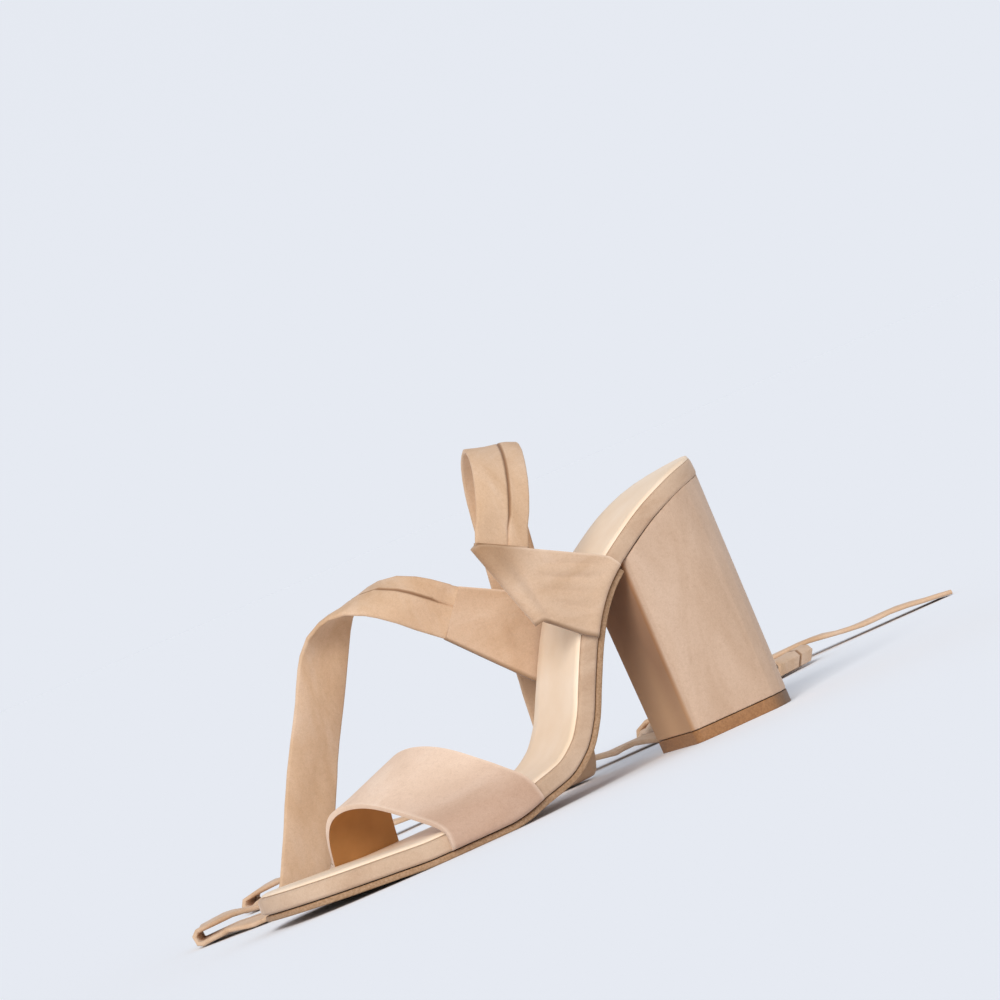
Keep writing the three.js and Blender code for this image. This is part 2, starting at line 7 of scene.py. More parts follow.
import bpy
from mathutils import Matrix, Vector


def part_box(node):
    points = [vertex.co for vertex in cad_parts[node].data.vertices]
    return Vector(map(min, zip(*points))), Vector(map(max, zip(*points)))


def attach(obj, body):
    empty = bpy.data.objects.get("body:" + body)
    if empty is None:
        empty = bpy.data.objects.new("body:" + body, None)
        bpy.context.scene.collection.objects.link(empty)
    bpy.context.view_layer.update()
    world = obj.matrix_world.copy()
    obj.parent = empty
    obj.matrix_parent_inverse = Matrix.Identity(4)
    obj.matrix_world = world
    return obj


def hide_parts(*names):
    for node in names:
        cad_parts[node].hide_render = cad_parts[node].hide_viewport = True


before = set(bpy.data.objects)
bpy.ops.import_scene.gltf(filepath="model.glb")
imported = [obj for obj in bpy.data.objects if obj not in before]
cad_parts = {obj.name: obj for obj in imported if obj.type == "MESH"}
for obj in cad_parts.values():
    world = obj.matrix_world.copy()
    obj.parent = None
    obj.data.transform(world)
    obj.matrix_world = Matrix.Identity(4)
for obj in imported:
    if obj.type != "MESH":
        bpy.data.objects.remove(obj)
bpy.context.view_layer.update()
print("nodes:", sorted(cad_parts))

# %% [markdown]
# ## The shoe's own sizes
# A shoe is drawn on its last: stations run along the sole from the toe to the back of the seat,
# and each has a height and two edges. The same driving sizes and short tables that shaped the
# solids are named here, in millimetres, so that every soft piece lies where its solid lies.
# Reading the places off the solids' own faces would be another way, but it would copy their
# facets too.

# %% Driving sizes
import math

import bpy
from mathutils import Matrix, Vector

MM = 0.001
SHOE_LENGTH = 212.3
BALL_WIDTH = 75.5
WAIST_WIDTH = 47
SEAT_WIDTH = 51
SEAT_HEIGHT = 86.5
TOE_SPRING = 4
END_ROUND = 24
TOE_TIP_OFFSET = -6
OUTSOLE_THICKNESS = 2.5
FOOTBED_THICKNESS = 6.2
FOOTBED_EDGE_ROUND = 1.3
HEEL_TOP_LENGTH = 46.5
HEEL_INSET = 0.8
STRAP_THICKNESS = 2
STRAP_TUCK = 8
GAP = 0.3
BESIDE = STRAP_THICKNESS / 2 + GAP
FOOTBED_TOP = OUTSOLE_THICKNESS + FOOTBED_THICKNESS

# Places along the shoe, as shares of its length, with the underside's height as shares of the
# toe spring and of the seat's height
SOLE_RISE = [
    (0.000, 1.00, 0.000), (0.095, 0.58, 0.000), (0.178, 0.25, 0.000), (0.251, 0.00, 0.000),
    (0.388, 0.00, 0.000), (0.423, 0.00, 0.010), (0.463, 0.00, 0.035), (0.536, 0.00, 0.075),
    (0.587, 0.00, 0.146), (0.625, 0.00, 0.252), (0.659, 0.00, 0.400), (0.692, 0.00, 0.546),
    (0.719, 0.00, 0.647), (0.754, 0.00, 0.740), (0.808, 0.00, 0.830), (0.874, 0.00, 0.917),
    (0.934, 0.00, 0.969), (1.000, 0.00, 1.000),
]

# Places along the shoe, with the named width there and its outer and inner share
SOLE_OUTLINE = [
    (0.000, BALL_WIDTH, 0.370, 0.500), (0.037, BALL_WIDTH, 0.370, 0.480),
    (0.088, BALL_WIDTH, 0.385, 0.470), (0.188, BALL_WIDTH, 0.465, 0.500),
    (0.288, BALL_WIDTH, 0.508, 0.490), (0.389, BALL_WIDTH, 0.510, 0.455),
    (0.449, BALL_WIDTH, 0.485, 0.410), (0.519, BALL_WIDTH, 0.420, 0.360),
    (0.589, WAIST_WIDTH, 0.580, 0.530), (0.690, WAIST_WIDTH, 0.508, 0.510),
    (0.790, SEAT_WIDTH, 0.488, 0.480), (0.890, SEAT_WIDTH, 0.500, 0.500),
    (1.000, SEAT_WIDTH, 0.470, 0.470),
]
print("the foot's bed is", FOOTBED_TOP, "mm above the floor at the ball")

# %% A smooth curve through a short table
def clamp(value, low=0.0, high=1.0):
    return min(max(value, low), high)


def mix(low, high, share):
    return low + (high - low) * share


def curve(rows):
    """A curve through (place, value) rows that never overshoots them."""
    at, value = zip(*rows)
    slope = [(value[i + 1] - value[i]) / (at[i + 1] - at[i]) for i in range(len(at) - 1)]

    def tangent(i):
        before = slope[max(i - 1, 0)]
        after = slope[min(i, len(slope) - 1)]
        return 0.0 if before * after <= 0 else 2 * before * after / (before + after)

    def read(place):
        i = 0
        while i < len(at) - 2 and place > at[i + 1]:
            i += 1
        step = at[i + 1] - at[i]
        t = clamp((place - at[i]) / step)
        rise = (3 - 2 * t) * t * t
        leave = step * tangent(i) * t * (1 - t) * (1 - t)
        arrive = step * tangent(i + 1) * t * t * (1 - t)
        return value[i] * (1 - rise) + value[i + 1] * rise + leave - arrive

    return read


rise_at = curve([(at, spring * TOE_SPRING + seat * SEAT_HEIGHT) for at, spring, seat in SOLE_RISE])
lateral_at = curve([(at, width * lateral) for at, width, lateral, _ in SOLE_OUTLINE])
medial_at = curve([(at, -width * medial) for at, width, _, medial in SOLE_OUTLINE])
print("the arch is", round(rise_at(0.6), 1), "mm up at six tenths of the length")

# %% The sole's own surface
def sole_normal(y):
    reach = 0.4
    low, high = (clamp((y + offset) / SHOE_LENGTH) for offset in (-reach, reach))
    return Vector((0, rise_at(low) - rise_at(high), (high - low) * SHOE_LENGTH)).normalized()


def sole_edge(y, side, inset):
    full = lateral_at(y / SHOE_LENGTH) if side > 0 else medial_at(y / SHOE_LENGTH)
    to_toe = clamp((y - inset) / (END_ROUND - inset))
    to_seat = clamp((SHOE_LENGTH - inset - y) / (END_ROUND - inset))
    middle = TOE_TIP_OFFSET if to_toe < 1 else 0
    rounding = math.sqrt(1 - (1 - to_toe) ** 2) * math.sqrt(1 - (1 - to_seat) ** 2)
    return middle + (full - middle - side * inset) * rounding


def sole_point(y, across, inset, height):
    """A point at station y, so far across from -1 (inner) to 1 (outer), above the underside."""
    x = mix(sole_edge(y, -1, inset), sole_edge(y, 1, inset), (across + 1) / 2)
    return Vector((x, y, rise_at(y / SHOE_LENGTH))) + sole_normal(y) * height


def beside_edge(y, side, out, up):
    return sole_point(y, side, 0, OUTSOLE_THICKNESS + up) + Vector((side * out, 0, 0))


# The frame's origin is under the middle of the shoe, and the sizes above start at the toe
heel_front = SHOE_LENGTH - HEEL_INSET - HEEL_TOP_LENGTH
widest = max(width * lateral for _, width, lateral, _ in SOLE_OUTLINE)
SHIFT = Vector((
    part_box("footbed")[1].x / MM - widest,
    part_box("heel_block")[0].y / MM - heel_front,
    0,
))


def in_frame(point):
    """A point in the shoe's own millimetres, as metres in the frame."""
    return (point + SHIFT) * MM


print("the shoe's toe is at y =", round(in_frame(Vector((0, 0, 0))).y, 4), "m in the frame")

# %% [markdown]
# ## The camera
# The photo was taken with a long lens from the shoe's outer side, a little towards the toe and
# level with the shoe, and the picture is rolled. A camera could be turned to face its target by
# a constraint, but the roll is easier to set from the three directions of the picture itself:
# right, up and towards the viewer.

# %% Set the camera
CAMERA_AZIMUTH = math.radians(19.7)
CAMERA_ELEVATION = math.radians(0.24)
CAMERA_ROLL = math.radians(23.47)
CAMERA_DISTANCE = 2.2
CAMERA_AIM = Vector((183.4, -31.8, 108.9)) * MM
LENS = 240.5
FARTHEST_SEEN = 200

towards = Vector((
    math.cos(CAMERA_AZIMUTH) * math.cos(CAMERA_ELEVATION),
    -math.sin(CAMERA_AZIMUTH) * math.cos(CAMERA_ELEVATION),
    math.sin(CAMERA_ELEVATION),
))
level = Vector((math.sin(CAMERA_AZIMUTH), math.cos(CAMERA_AZIMUTH), 0))
upright = towards.cross(level)
picture_right = level * math.cos(CAMERA_ROLL) - upright * math.sin(CAMERA_ROLL)
picture_up = level * math.sin(CAMERA_ROLL) + upright * math.cos(CAMERA_ROLL)

bpy.ops.object.camera_add(location=CAMERA_AIM + towards * CAMERA_DISTANCE)
camera = bpy.context.object
camera.data.lens = LENS
camera.rotation_euler = Matrix((picture_right, picture_up, towards)).transposed().to_euler()
camera.data.clip_end = FARTHEST_SEEN
bpy.context.scene.camera = camera
print("camera at", [round(value, 3) for value in camera.location])

# %% [markdown]
# ## Where the straps run
# A shoemaker cuts each strap flat, folds its edge and lasts it: its foot is tucked under the
# footbed, comes out round the edge and goes up. Each strap here is a list of rows, one for each
# place along it, and each row gives a point for a share of the strap's width. The same rows
# serve the tabs and the start of the ties.

# %% The foot of a strap, tucked under the footbed
def strap_foot(side, y_at):
    under = STRAP_THICKNESS / 2
    corner = BESIDE * math.sqrt(0.5)
    route = [
        (-STRAP_TUCK, under), (-STRAP_TUCK / 2, under), (0, under),
        (corner, under + BESIDE - corner), (BESIDE, under + BESIDE),
        (BESIDE, FOOTBED_THICKNESS - FOOTBED_EDGE_ROUND),
    ]
    return [lambda share, out=out, up=up: beside_edge(y_at(share), side, out, up)
            for out, up in route]


def heading(degrees):
    """A direction in the upright plane along the shoe, its angle counted from the heel upwards."""
    return Vector((0, math.cos(math.radians(degrees)), math.sin(math.radians(degrees))))


def between(low, high):
    return lambda share: low.lerp(high, share)


# %% The two quarter tabs
# side, front and rear on the footbed, end along the shoe and up (shares), lean outwards in mm
LATERAL_TAB = {"side": 1, "front": 0.694, "rear": 0.776, "end": (0.572, 0.925), "lean": 2.5}
MEDIAL_TAB = {"side": -1, "front": 0.668, "rear": 0.748, "end": (0.547, 0.897), "lean": 4}
LATERAL_TAB_HEADING = 152.4
LATERAL_FOLD_WIDTH = 25
LATERAL_FOLD_LINE = 108
MEDIAL_TAB_HEADING = 140
TAB_FOLD_RADIUS = 2
TIE_WIDTH = 20
TIE_THICKNESS = 1.8
TIE_LENGTH = 600
TAB_STEPS = 5
FOLD_STEPS = 4


def tab_rows(tab, end):
    def y_at(share):
        return mix(tab["front"], tab["rear"], share) * SHOE_LENGTH

    def top(share):
        return beside_edge(y_at(share), tab["side"], BESIDE, FOOTBED_THICKNESS)

    panel = [lambda share, reach=step / TAB_STEPS: top(share).lerp(end(share), reach)
             for step in range(TAB_STEPS + 1)]
    return strap_foot(tab["side"], y_at) + panel


def tab_end(tab):
    middle = (tab["front"] + tab["rear"]) / 2 * SHOE_LENGTH
    x = sole_edge(middle, tab["side"], 0) + tab["side"] * (BESIDE + tab["lean"])
    return Vector((x, tab["end"][0] * SHOE_LENGTH, tab["end"][1] * SEAT_HEIGHT))


def lateral_tab():
    """Rows up to the slanting crease, round it, and along the flap behind, to the tie."""
    middle = tab_end(LATERAL_TAB)
    slant = math.radians(LATERAL_TAB_HEADING - LATERAL_FOLD_LINE)
    crease = heading(LATERAL_FOLD_LINE) * (LATERAL_FOLD_WIDTH / math.sin(slant) / 2)
    low, high = middle - crease, middle + crease
    fold = []
    for step in range(1, FOLD_STEPS + 1):
        turn = math.pi * step / FOLD_STEPS
        shift = heading(LATERAL_FOLD_LINE + 90) * (TAB_FOLD_RADIUS * math.sin(turn))
        shift.x -= TAB_FOLD_RADIUS * (1 - math.cos(turn))
        fold.append(between(low + shift, high + shift))
    tie_heading = 2 * LATERAL_FOLD_LINE - LATERAL_TAB_HEADING
    end_high = fold[-1](1) + heading(tie_heading) * (GAP * 3)
    end = between(end_high + heading(tie_heading - 90) * TIE_WIDTH, end_high)
    flap = [lambda share, reach=step / FOLD_STEPS: fold[-1](share).lerp(end(share), reach)
            for step in range(1, FOLD_STEPS + 1)]
    return {"rows": tab_rows(LATERAL_TAB, between(low, high)) + fold + flap,
            "end": end, "tie_heading": tie_heading, "corner": high}


def medial_tab():
    middle = tab_end(MEDIAL_TAB)
    across = heading(MEDIAL_TAB_HEADING - 90) * (TIE_WIDTH / 2)
    end = between(middle - across, middle + across)
    return {"rows": tab_rows(MEDIAL_TAB, end), "end": end, "tie_heading": MEDIAL_TAB_HEADING}


lateral, medial = lateral_tab(), medial_tab()
print("rows of the tabs:", len(lateral["rows"]), len(medial["rows"]))

# %% [markdown]
# ## The ties
# Each ankle tie is one flat suede strip, folded together and closed by a seam along its back. It
# can't stretch, so it is described by bends: straight runs, each with a bend line at its own
# slant. The first bends carry it over and down to the floor, and the last ones fold it to and
# fro where it lies. A simulated cloth would also fall like this, but its length and its end
# could not be set.

# %% The bends of both ties
# run as a share of the tie's length, slant and turn in degrees, radius as a share of its width
LATERAL_TIE = [
    (0.083, 102, -165, 1.35), "lands", (0.097, 133, 180, 0.13), (0.113, 137, -180, 0.13),
    (0.110, 135, 180, 0.13), (0.107, 134, -180, 0.13), (0.107, 136, 180, 0.13),
]
MEDIAL_TIE = [
    (0.063, 52.5, -165, 0.75), "lands", (0.100, 129, 180, 0.13), (0.117, 135, -180, 0.13),
    (0.113, 133, 180, 0.13), (0.110, 136, -180, 0.13), (0.110, 134, 180, 0.13),
]
LANDING_RADIUS = 0.7


def bent(bend, point, whole=False):
    """A strip's point after a bend that turns everything beyond its line."""
    at, slant, turn, radius = bend
    cos, sin, sign = math.cos(slant), math.sin(slant), math.copysign(1, turn)
    arc = radius * abs(turn)
    u = (point.x - at) * cos + point.y * sin
    d = (point.x - at) * sin - point.y * cos + arc / 2
    on_arc = arc if whole else clamp(d, 0, arc)
    angle = on_arc / radius
    reach = radius - sign * point.z
    forward = reach * math.sin(angle) + (d - on_arc) * math.cos(angle) - arc / 2
    lift = radius - reach * math.cos(angle) + (d - on_arc) * math.sin(angle)
    return Vector((at + u * cos + forward * sin, u * sin - forward * cos, sign * lift))


def basis(x, y, z, origin):
    return Matrix.Translation(origin) @ Matrix((x, y, z)).transposed().to_4x4()


def frame_beyond(bend):
    origin = bent(bend, Vector((0, 0, 0)), True)
    axes = [bent(bend, Vector(axis), True) - origin for axis in ((1, 0, 0), (0, 1, 0), (0, 0, 1))]
    return basis(*axes, origin)


def landing(strip, radius):
    """The bend that lays a falling strip flat on the floor."""
    along, across, normal, origin = (strip.col[i].to_3d() for i in range(4))
    slant = math.atan2(-along.z, across.z)
    down = along.z * math.sin(slant) - across.z * math.cos(slant)
    turn = math.atan(-down / normal.z)
    floor_at = (TIE_THICKNESS / 2 + GAP - origin.z) / along.z
    tangent = radius * math.tan(abs(turn) / 2) - radius * abs(turn) / 2
    return (floor_at - tangent / math.sin(slant), slant, turn, radius)


# %% Rings along a tie
RING_STEP = 4
FOLD_RING_STEPS = 8


def tie_bends(tab, rows):
    """Each bend with the strip's own frame before it."""
    out = heading(tab["tie_heading"])
    start = tab["end"](0.5) + out * GAP
    strip = basis(out, heading(tab["tie_heading"] + 90), Vector((1, 0, 0)), start)
    reached, bends = 0.0, []
    for row in rows:
        if row == "lands":
            bend = landing(strip, LANDING_RADIUS * TIE_WIDTH)
        else:
            run, slant, turn, radius = row
            place = reached + run * TIE_LENGTH
            bend = (place, math.radians(slant), math.radians(turn), radius * TIE_WIDTH)
        bends.append((bend, strip))
        strip = strip @ frame_beyond(bend)
        reached = bend[0]
    return bends, strip


def ring(bend, d, strip, fall):
    """A ring parallel to a bend line: a function of the place across and above the middle."""
    at, slant, turn, _ = bend

    def place(across, high):
        u = (across + d * math.cos(slant)) / math.sin(slant)
        point = Vector((at + u * math.cos(slant) + d * math.sin(slant), across, high))
        return strip @ (bent(bend, point) if turn else point) - Vector((0, 0, fall))

    return place


def square(at):
    return (at, math.pi / 2, 0, 1)


def tie_rings(tab, rows):
    bends, last = tie_bends(tab, rows)
    rings = [ring(square(-GAP), 0, bends[0][1], 0)]
    fall = 0.0
    for i, (bend, strip) in enumerate(bends):
        at, _, turn, radius = bend
        folded = abs(turn) == math.pi
        arc = radius * abs(turn)
        count = FOLD_RING_STEPS if folded else math.ceil(arc / RING_STEP)
        rings += [ring(bend, mix(-arc / 2, arc / 2, step / count), strip, fall)
                  for step in range(count + 1)]
        if folded:
            beyond, next_at = last, TIE_LENGTH
            if i + 1 < len(bends):
                beyond, next_at = bends[i + 1][1], bends[i + 1][0][0]
            rings.append(ring(square(mix(at, next_at, 0.5)), 0, beyond, fall + radius))
            fall += 2 * radius
    return rings + [ring(square(TIE_LENGTH), 0, last, fall)]


TIE_RINGS = {
    "lateral_tie": tie_rings(lateral, LATERAL_TIE),
    "medial_tie": tie_rings(medial, MEDIAL_TIE),
}
print({name: len(rings) for name, rings in TIE_RINGS.items()})

# %% [markdown]
# ## Helpers for making a piece
# Two ways of starting a piece serve the whole shoe. A strap or a lining is cut from flat stuff,
# so it starts as a grid whose points are set on the strap's rows, and gets its thickness from
# Solidify. A sole, heel or tie has a closed section, so it starts as a cylinder that is cut into
# rings along its length, and each ring is set on the section at its station.

# %% Start clean, and set points on a form
def only(piece):
    bpy.ops.object.select_all(action="DESELECT")
    piece.select_set(True)
    bpy.context.view_layer.objects.active = piece


def sheet_piece(name, columns, rows, place):
    """A grid whose points are set by place(share across, share along)."""
    bpy.ops.object.select_all(action="DESELECT")
    bpy.ops.mesh.primitive_grid_add(x_subdivisions=columns, y_subdivisions=rows, size=1)
    piece = bpy.context.object
    piece.name = name
    for vertex in piece.data.vertices:
        vertex.co = in_frame(place(vertex.co.x + 0.5, vertex.co.y + 0.5))
    return piece


# Each ringed piece keeps, for each of its points, the number round the ring and the share along
RING_PLACES = {}
MERGE_DISTANCE = 0.01 * MM


def ring_place(vertex, around):
    turn = round(math.atan2(vertex.co.y, vertex.co.x) / (2 * math.pi) * around) % around
    return turn, vertex.co.z + 0.5


def ringed_piece(name, around, along, place, tips=()):
    """A cylinder cut into rings, its points set by place(number round the ring, share along).
    Tips names the ends (-1 first, 1 last) whose ring shrinks to a line and is closed there."""
    bpy.ops.object.select_all(action="DESELECT")
    bpy.ops.mesh.primitive_cylinder_add(vertices=around, radius=1, depth=1)
    piece = bpy.context.object
    piece.name = name
    mesh = piece.data
    bpy.ops.object.mode_set(mode="EDIT")
    bpy.ops.mesh.select_all(action="DESELECT")
    bpy.ops.mesh.select_mode(type="EDGE")
    bpy.ops.object.mode_set(mode="OBJECT")
    for edge in mesh.edges:
        low, high = (mesh.vertices[i].co.z for i in edge.vertices)
        edge.select = abs(high - low) > 0.5
    bpy.ops.object.mode_set(mode="EDIT")
    bpy.ops.mesh.subdivide(number_cuts=along - 1)
    bpy.ops.mesh.select_all(action="DESELECT")
    bpy.ops.mesh.select_mode(type="FACE")
    bpy.ops.object.mode_set(mode="OBJECT")
    for face in mesh.polygons:
        face.select = len(face.vertices) == around and round(face.center.z * 2) in tips
    bpy.ops.object.mode_set(mode="EDIT")
    bpy.ops.mesh.delete(type="ONLY_FACE")
    bpy.ops.mesh.select_mode(type="VERT")
    bpy.ops.object.mode_set(mode="OBJECT")
    RING_PLACES[name] = [ring_place(vertex, around) for vertex in mesh.vertices]
    for vertex, (turn, share) in zip(mesh.vertices, RING_PLACES[name]):
        vertex.co = in_frame(place(turn, share))
    bpy.ops.object.mode_set(mode="EDIT")
    bpy.ops.mesh.select_all(action="SELECT")
    if tips:
        bpy.ops.mesh.remove_doubles(threshold=MERGE_DISTANCE)
    bpy.ops.mesh.normals_make_consistent(inside=False)
    bpy.ops.object.mode_set(mode="OBJECT")
    return piece


SHARP_ANGLE = 50


def modify(piece, kind, **settings):
    """Adds a modifier with its settings and applies it."""
    only(piece)
    modifier = piece.modifiers.new(kind.title(), kind)
    for setting, value in settings.items():
        setattr(modifier, setting, value)
    bpy.ops.object.modifier_apply(modifier=modifier.name)


def round_edges(piece, width_mm, segments=3):
    """Rounds every edge that is sharper than the sharp angle."""
    modify(piece, "BEVEL", width=width_mm * MM, segments=segments, limit_method="ANGLE",
           angle_limit=math.radians(SHARP_ANGLE))


def smooth(piece, degrees=SHARP_ANGLE):
    only(piece)
    bpy.ops.object.shade_smooth_by_angle(angle=math.radians(degrees))


def dress(piece, node, slot, *materials):
    """The piece rides on the shoe, stands for its plain solid and takes its finish."""
    if not piece.data.materials:
        for material in materials:
            piece.data.materials.append(material)
    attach(piece, "root")
    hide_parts(node)
    print(piece.name, len(piece.data.polygons), "faces")


# %% Listed creases, pressed in
# A crease keeps some of its depth at its ends: it is the part of a half wave between these
CREASE_ENDS = (0.12, 0.88)


def crease_depth(point, start, end, reach, depth, ends):
    """How deep a crease between two points is there: a soft trough that fades to its sides."""
    line = end - start
    share = clamp((point - start).dot(line) / line.length_squared)
    away = (point - start - line * share).length / reach
    return depth * math.exp(-away * away) * math.sin(math.pi * mix(*ends, share))


def press(piece, place, creases):
    """Each crease runs between two places (across, along) of the strap, with a reach and a
    depth in millimetres; a positive depth sinks it."""
    runs = [(in_frame(place(*start)), in_frame(place(*end)), reach * MM, depth * MM, CREASE_ENDS)
            for start, end, reach, depth in creases]
    moves = [vertex.normal * -sum(crease_depth(vertex.co, *run) for run in runs)
             for vertex in piece.data.vertices]
    for vertex, move in zip(piece.data.vertices, moves):
        vertex.co += move


# %% [markdown]
# ## Finishes
# Each finish starts from what the real stuff is and how its surface was made. Colours are
# written as sRGB hex, as read off the photo, and one function turns them linear. One
# function adds a node with its settings and links. Patterns read Object coordinates, in metres,
# so a pattern of a known size in millimetres has the scale 1 / (size x 0.001).

# %% Colours and nodes
def linear(hex_colour):
    values = [int(hex_colour[i:i + 2], 16) / 255 for i in (1, 3, 5)]
    return (*[v / 12.92 if v <= 0.04045 else ((v + 0.055) / 1.055) ** 2.4 for v in values], 1)


def scale_of(size_mm):
    return 1 / (size_mm * MM)


def connect(tree, made, **inputs):
    """Sets a node's inputs; each is a value, or another node's output that is linked to it."""
    for name, value in inputs.items():
        socket = made.inputs[int(name[1:]) if name[1:].isdigit() else name.replace("_", " ")]
        if isinstance(value, bpy.types.NodeSocket):
            tree.links.new(value, socket)
        else:
            socket.default_value = value


def node(tree, kind, settings=None, **inputs):
    made = tree.nodes.new(kind)
    for name, value in (settings or {}).items():
        setattr(made, name, value)
    connect(tree, made, **inputs)
    return made


def calculate(tree, operation, *values):
    inputs = {f"_{i}": value for i, value in enumerate(values)}
    return node(tree, "ShaderNodeMath", {"operation": operation}, **inputs).outputs[0]


def split(tree, vector, axis):
    return node(tree, "ShaderNodeSeparateXYZ", Vector=vector).outputs[axis]


def noise(tree, place, size_mm, **settings):
    """A cloudy pattern whose patches have that size."""
    texture = node(tree, "ShaderNodeTexNoise", Vector=place, Scale=scale_of(size_mm), **settings)
    return texture.outputs["Fac"]


# %% Colours that change from place to place
def ramp(tree, fac, stops):
    """A colour ramp with (place, hex colour) stops."""
    made = node(tree, "ShaderNodeValToRGB", Fac=fac)
    elements = made.color_ramp.elements
    while len(elements) < len(stops):
        elements.new(0.5)
    for element, (place, colour) in zip(elements, stops):
        element.position = place
        element.color = linear(colour)
    return made.outputs["Color"]


def fade(tree, value, between_places, shares, kind="SMOOTHSTEP"):
    """A share that goes from one value to another while a measure passes between two places."""
    return node(tree, "ShaderNodeMapRange", {"interpolation_type": kind}, Value=value,
                _1=between_places[0], _2=between_places[1], _3=shares[0], _4=shares[1]).outputs["Result"]


def multiply(tree, share, colour, by):
    return node(tree, "ShaderNodeMix", {"data_type": "RGBA", "blend_type": "MULTIPLY"},
                _0=share, _6=colour, _7=by).outputs[2]


def blend(tree, share, low, high):
    return node(tree, "ShaderNodeMix", {"data_type": "RGBA"}, _0=share, _6=low, _7=high).outputs[2]


def blank(name):
    """A material with its tree, its shader and its Object coordinates."""
    material = bpy.data.materials.new(name)
    material.use_nodes = True
    tree = material.node_tree
    shader = tree.nodes["Principled BSDF"]
    here = node(tree, "ShaderNodeTexCoord").outputs["Object"]
    return material, tree, shader, here


# %% [markdown]
# ## Suede
# Suede is leather buffed on its flesh side with fine grit. The raised fibres scatter light, so
# it has no gloss, a soft light rim, and patches that look lighter or darker where the nap was
# brushed another way. A hair system could draw the fibres, but at this distance they are finer
# than a pixel. So the nap is noise in colour and bump, drawn a little coarse, and the rim is the
# shader's sheen. Over that, some pieces get painted shade and painted highlight by their places,
# and the ties a darker seam.

# %% Brushed suede
NAP_MM = 0.5
BRUSHED_PATCH_MM = 16
PORE_MM = 1.5
ALONG_SHOE = (1.0, 0.4, 1.0)
UPRIGHT = (1.0, 1.0, 0.3)
NAP_SHADE = 0.45
PORE_SHADE = 0.12
NAP_DEPTH = 0.12 * MM


def suede(name, light, middle, dark, brushed, *details):
    """Brushed stretches the patches along the strokes; details paint a piece's marks over that, painted
    shade and painted highlight among them.
    """
    material, tree, shader, here = blank(name)
    stroked = node(tree, "ShaderNodeMapping", Vector=here, Scale=brushed).outputs["Vector"]
    patches = noise(tree, stroked, BRUSHED_PATCH_MM, Detail=5, Roughness=0.6, Distortion=0.8)
    nap = noise(tree, here, NAP_MM, Detail=3, Roughness=0.7)
    pores = noise(tree, here, PORE_MM, Detail=4, Roughness=0.6)
    colour = ramp(tree, patches, [(0.30, dark), (0.50, middle), (0.70, light)])
    hairs = ramp(tree, nap, [(0.25, "#D6D0CC"), (0.75, "#FFFFFF")])
    specks = ramp(tree, pores, [(0.32, "#C4B4A6"), (0.50, "#FFFFFF")])
    colour = multiply(tree, PORE_SHADE, multiply(tree, NAP_SHADE, colour, hairs), specks)
    for detail in details:
        colour = detail(tree, here, colour)
    coarse = node(tree, "ShaderNodeBump", Height=pores, Strength=0.2, Distance=NAP_DEPTH)
    fine = node(tree, "ShaderNodeBump", Height=nap, Strength=0.5, Distance=NAP_DEPTH,
                Normal=coarse.outputs["Normal"])
    connect(tree, shader, Base_Color=colour, Normal=fine.outputs["Normal"], Roughness=0.95,
            Specular_IOR_Level=0.2, Sheen_Weight=0.3, Sheen_Roughness=0.4,
            Sheen_Tint=linear("#FFF0E4"))
    return material


# %% The straps' edges
# Painted highlight: the pale tone that the straps' folded edges take where light catches them
EDGE_HIGHLIGHT = linear("#F3DCC6")
EDGE_HIGHLIGHT_SHARES = (0.0, 0.35)
EDGE_HIGHLIGHT_FROM = 0.955
# Painted shade: the dark tone of a tab's front edge, turned down away from the light
EDGE_SHADE = linear("#7A5A40")
EDGE_SHADE_TO = 0.06


def across_strap(tree):
    """A strap's own map runs from its front edge, 0, to its rear edge, 1."""
    return split(tree, node(tree, "ShaderNodeUVMap").outputs["UV"], "X")


def highlighted_edges(tree, here, colour):
    """Painted highlight: the folded edges of a strap are paler, where light catches their round."""
    from_middle = calculate(tree, "ABSOLUTE", calculate(tree, "SUBTRACT", across_strap(tree), 0.5))
    share = fade(tree, from_middle, (EDGE_HIGHLIGHT_FROM - 0.5, 0.5), EDGE_HIGHLIGHT_SHARES)
    return blend(tree, share, colour, EDGE_HIGHLIGHT)


def tab_edges(tree, here, colour):
    """Painted highlight on a tab's rear edge, and painted shade on its front edge, which is turned down.
    """
    across = across_strap(tree)
    highlighted = blend(tree, fade(tree, across, (EDGE_HIGHLIGHT_FROM, 1.0), EDGE_HIGHLIGHT_SHARES), colour, EDGE_HIGHLIGHT)
    return blend(tree, fade(tree, across, (0.0, EDGE_SHADE_TO), (0.75, 0.0)), highlighted, EDGE_SHADE)


# %% The near tab's fold and the band's sides
FOLD_SHADE = 24 * MM
BAND_SHADE_LOW = 11 * MM
BAND_SHADE_HIGH = 30 * MM


def fold_shade(tree, here, colour):
    """Painted shade: the near tab is darker round the upper end of its fold, where the fold casts shade.
    """
    away = node(tree, "ShaderNodeVectorMath", {"operation": "DISTANCE"}, _0=here,
                _1=in_frame(lateral["corner"])).outputs["Value"]
    share = fade(tree, away, (0.3 * FOLD_SHADE, FOLD_SHADE), (1.0, 0.0))
    return multiply(tree, share, colour, linear("#D0C3B4"))


def band_low_shade(tree, here, colour):
    """Painted shade: the band's sides are pinker and darker low down than at its crest, away from the
    light.
    """
    share = fade(tree, split(tree, here, "Z"), (BAND_SHADE_LOW, BAND_SHADE_HIGH), (1.0, 0.0))
    return multiply(tree, share, colour, linear("#D4C8C2"))


# %% The heel's breast
HEEL_BASE_LENGTH = 44.5
HEEL_BASE_SETBACK = 2.3
BREAST_BASE = SHOE_LENGTH - HEEL_BASE_SETBACK - HEEL_BASE_LENGTH
BREAST_PLACE = in_frame(Vector((0, BREAST_BASE, 0))).y
BREAST_LEAN = (BREAST_BASE - heel_front) / SEAT_HEIGHT
BREAST_CORNER = 4
BREAST_FADE = 0.3 * BREAST_CORNER * MM
BREAST_SIDE = 14 * MM
BREAST_TOP = SEAT_HEIGHT * 0.75 * MM


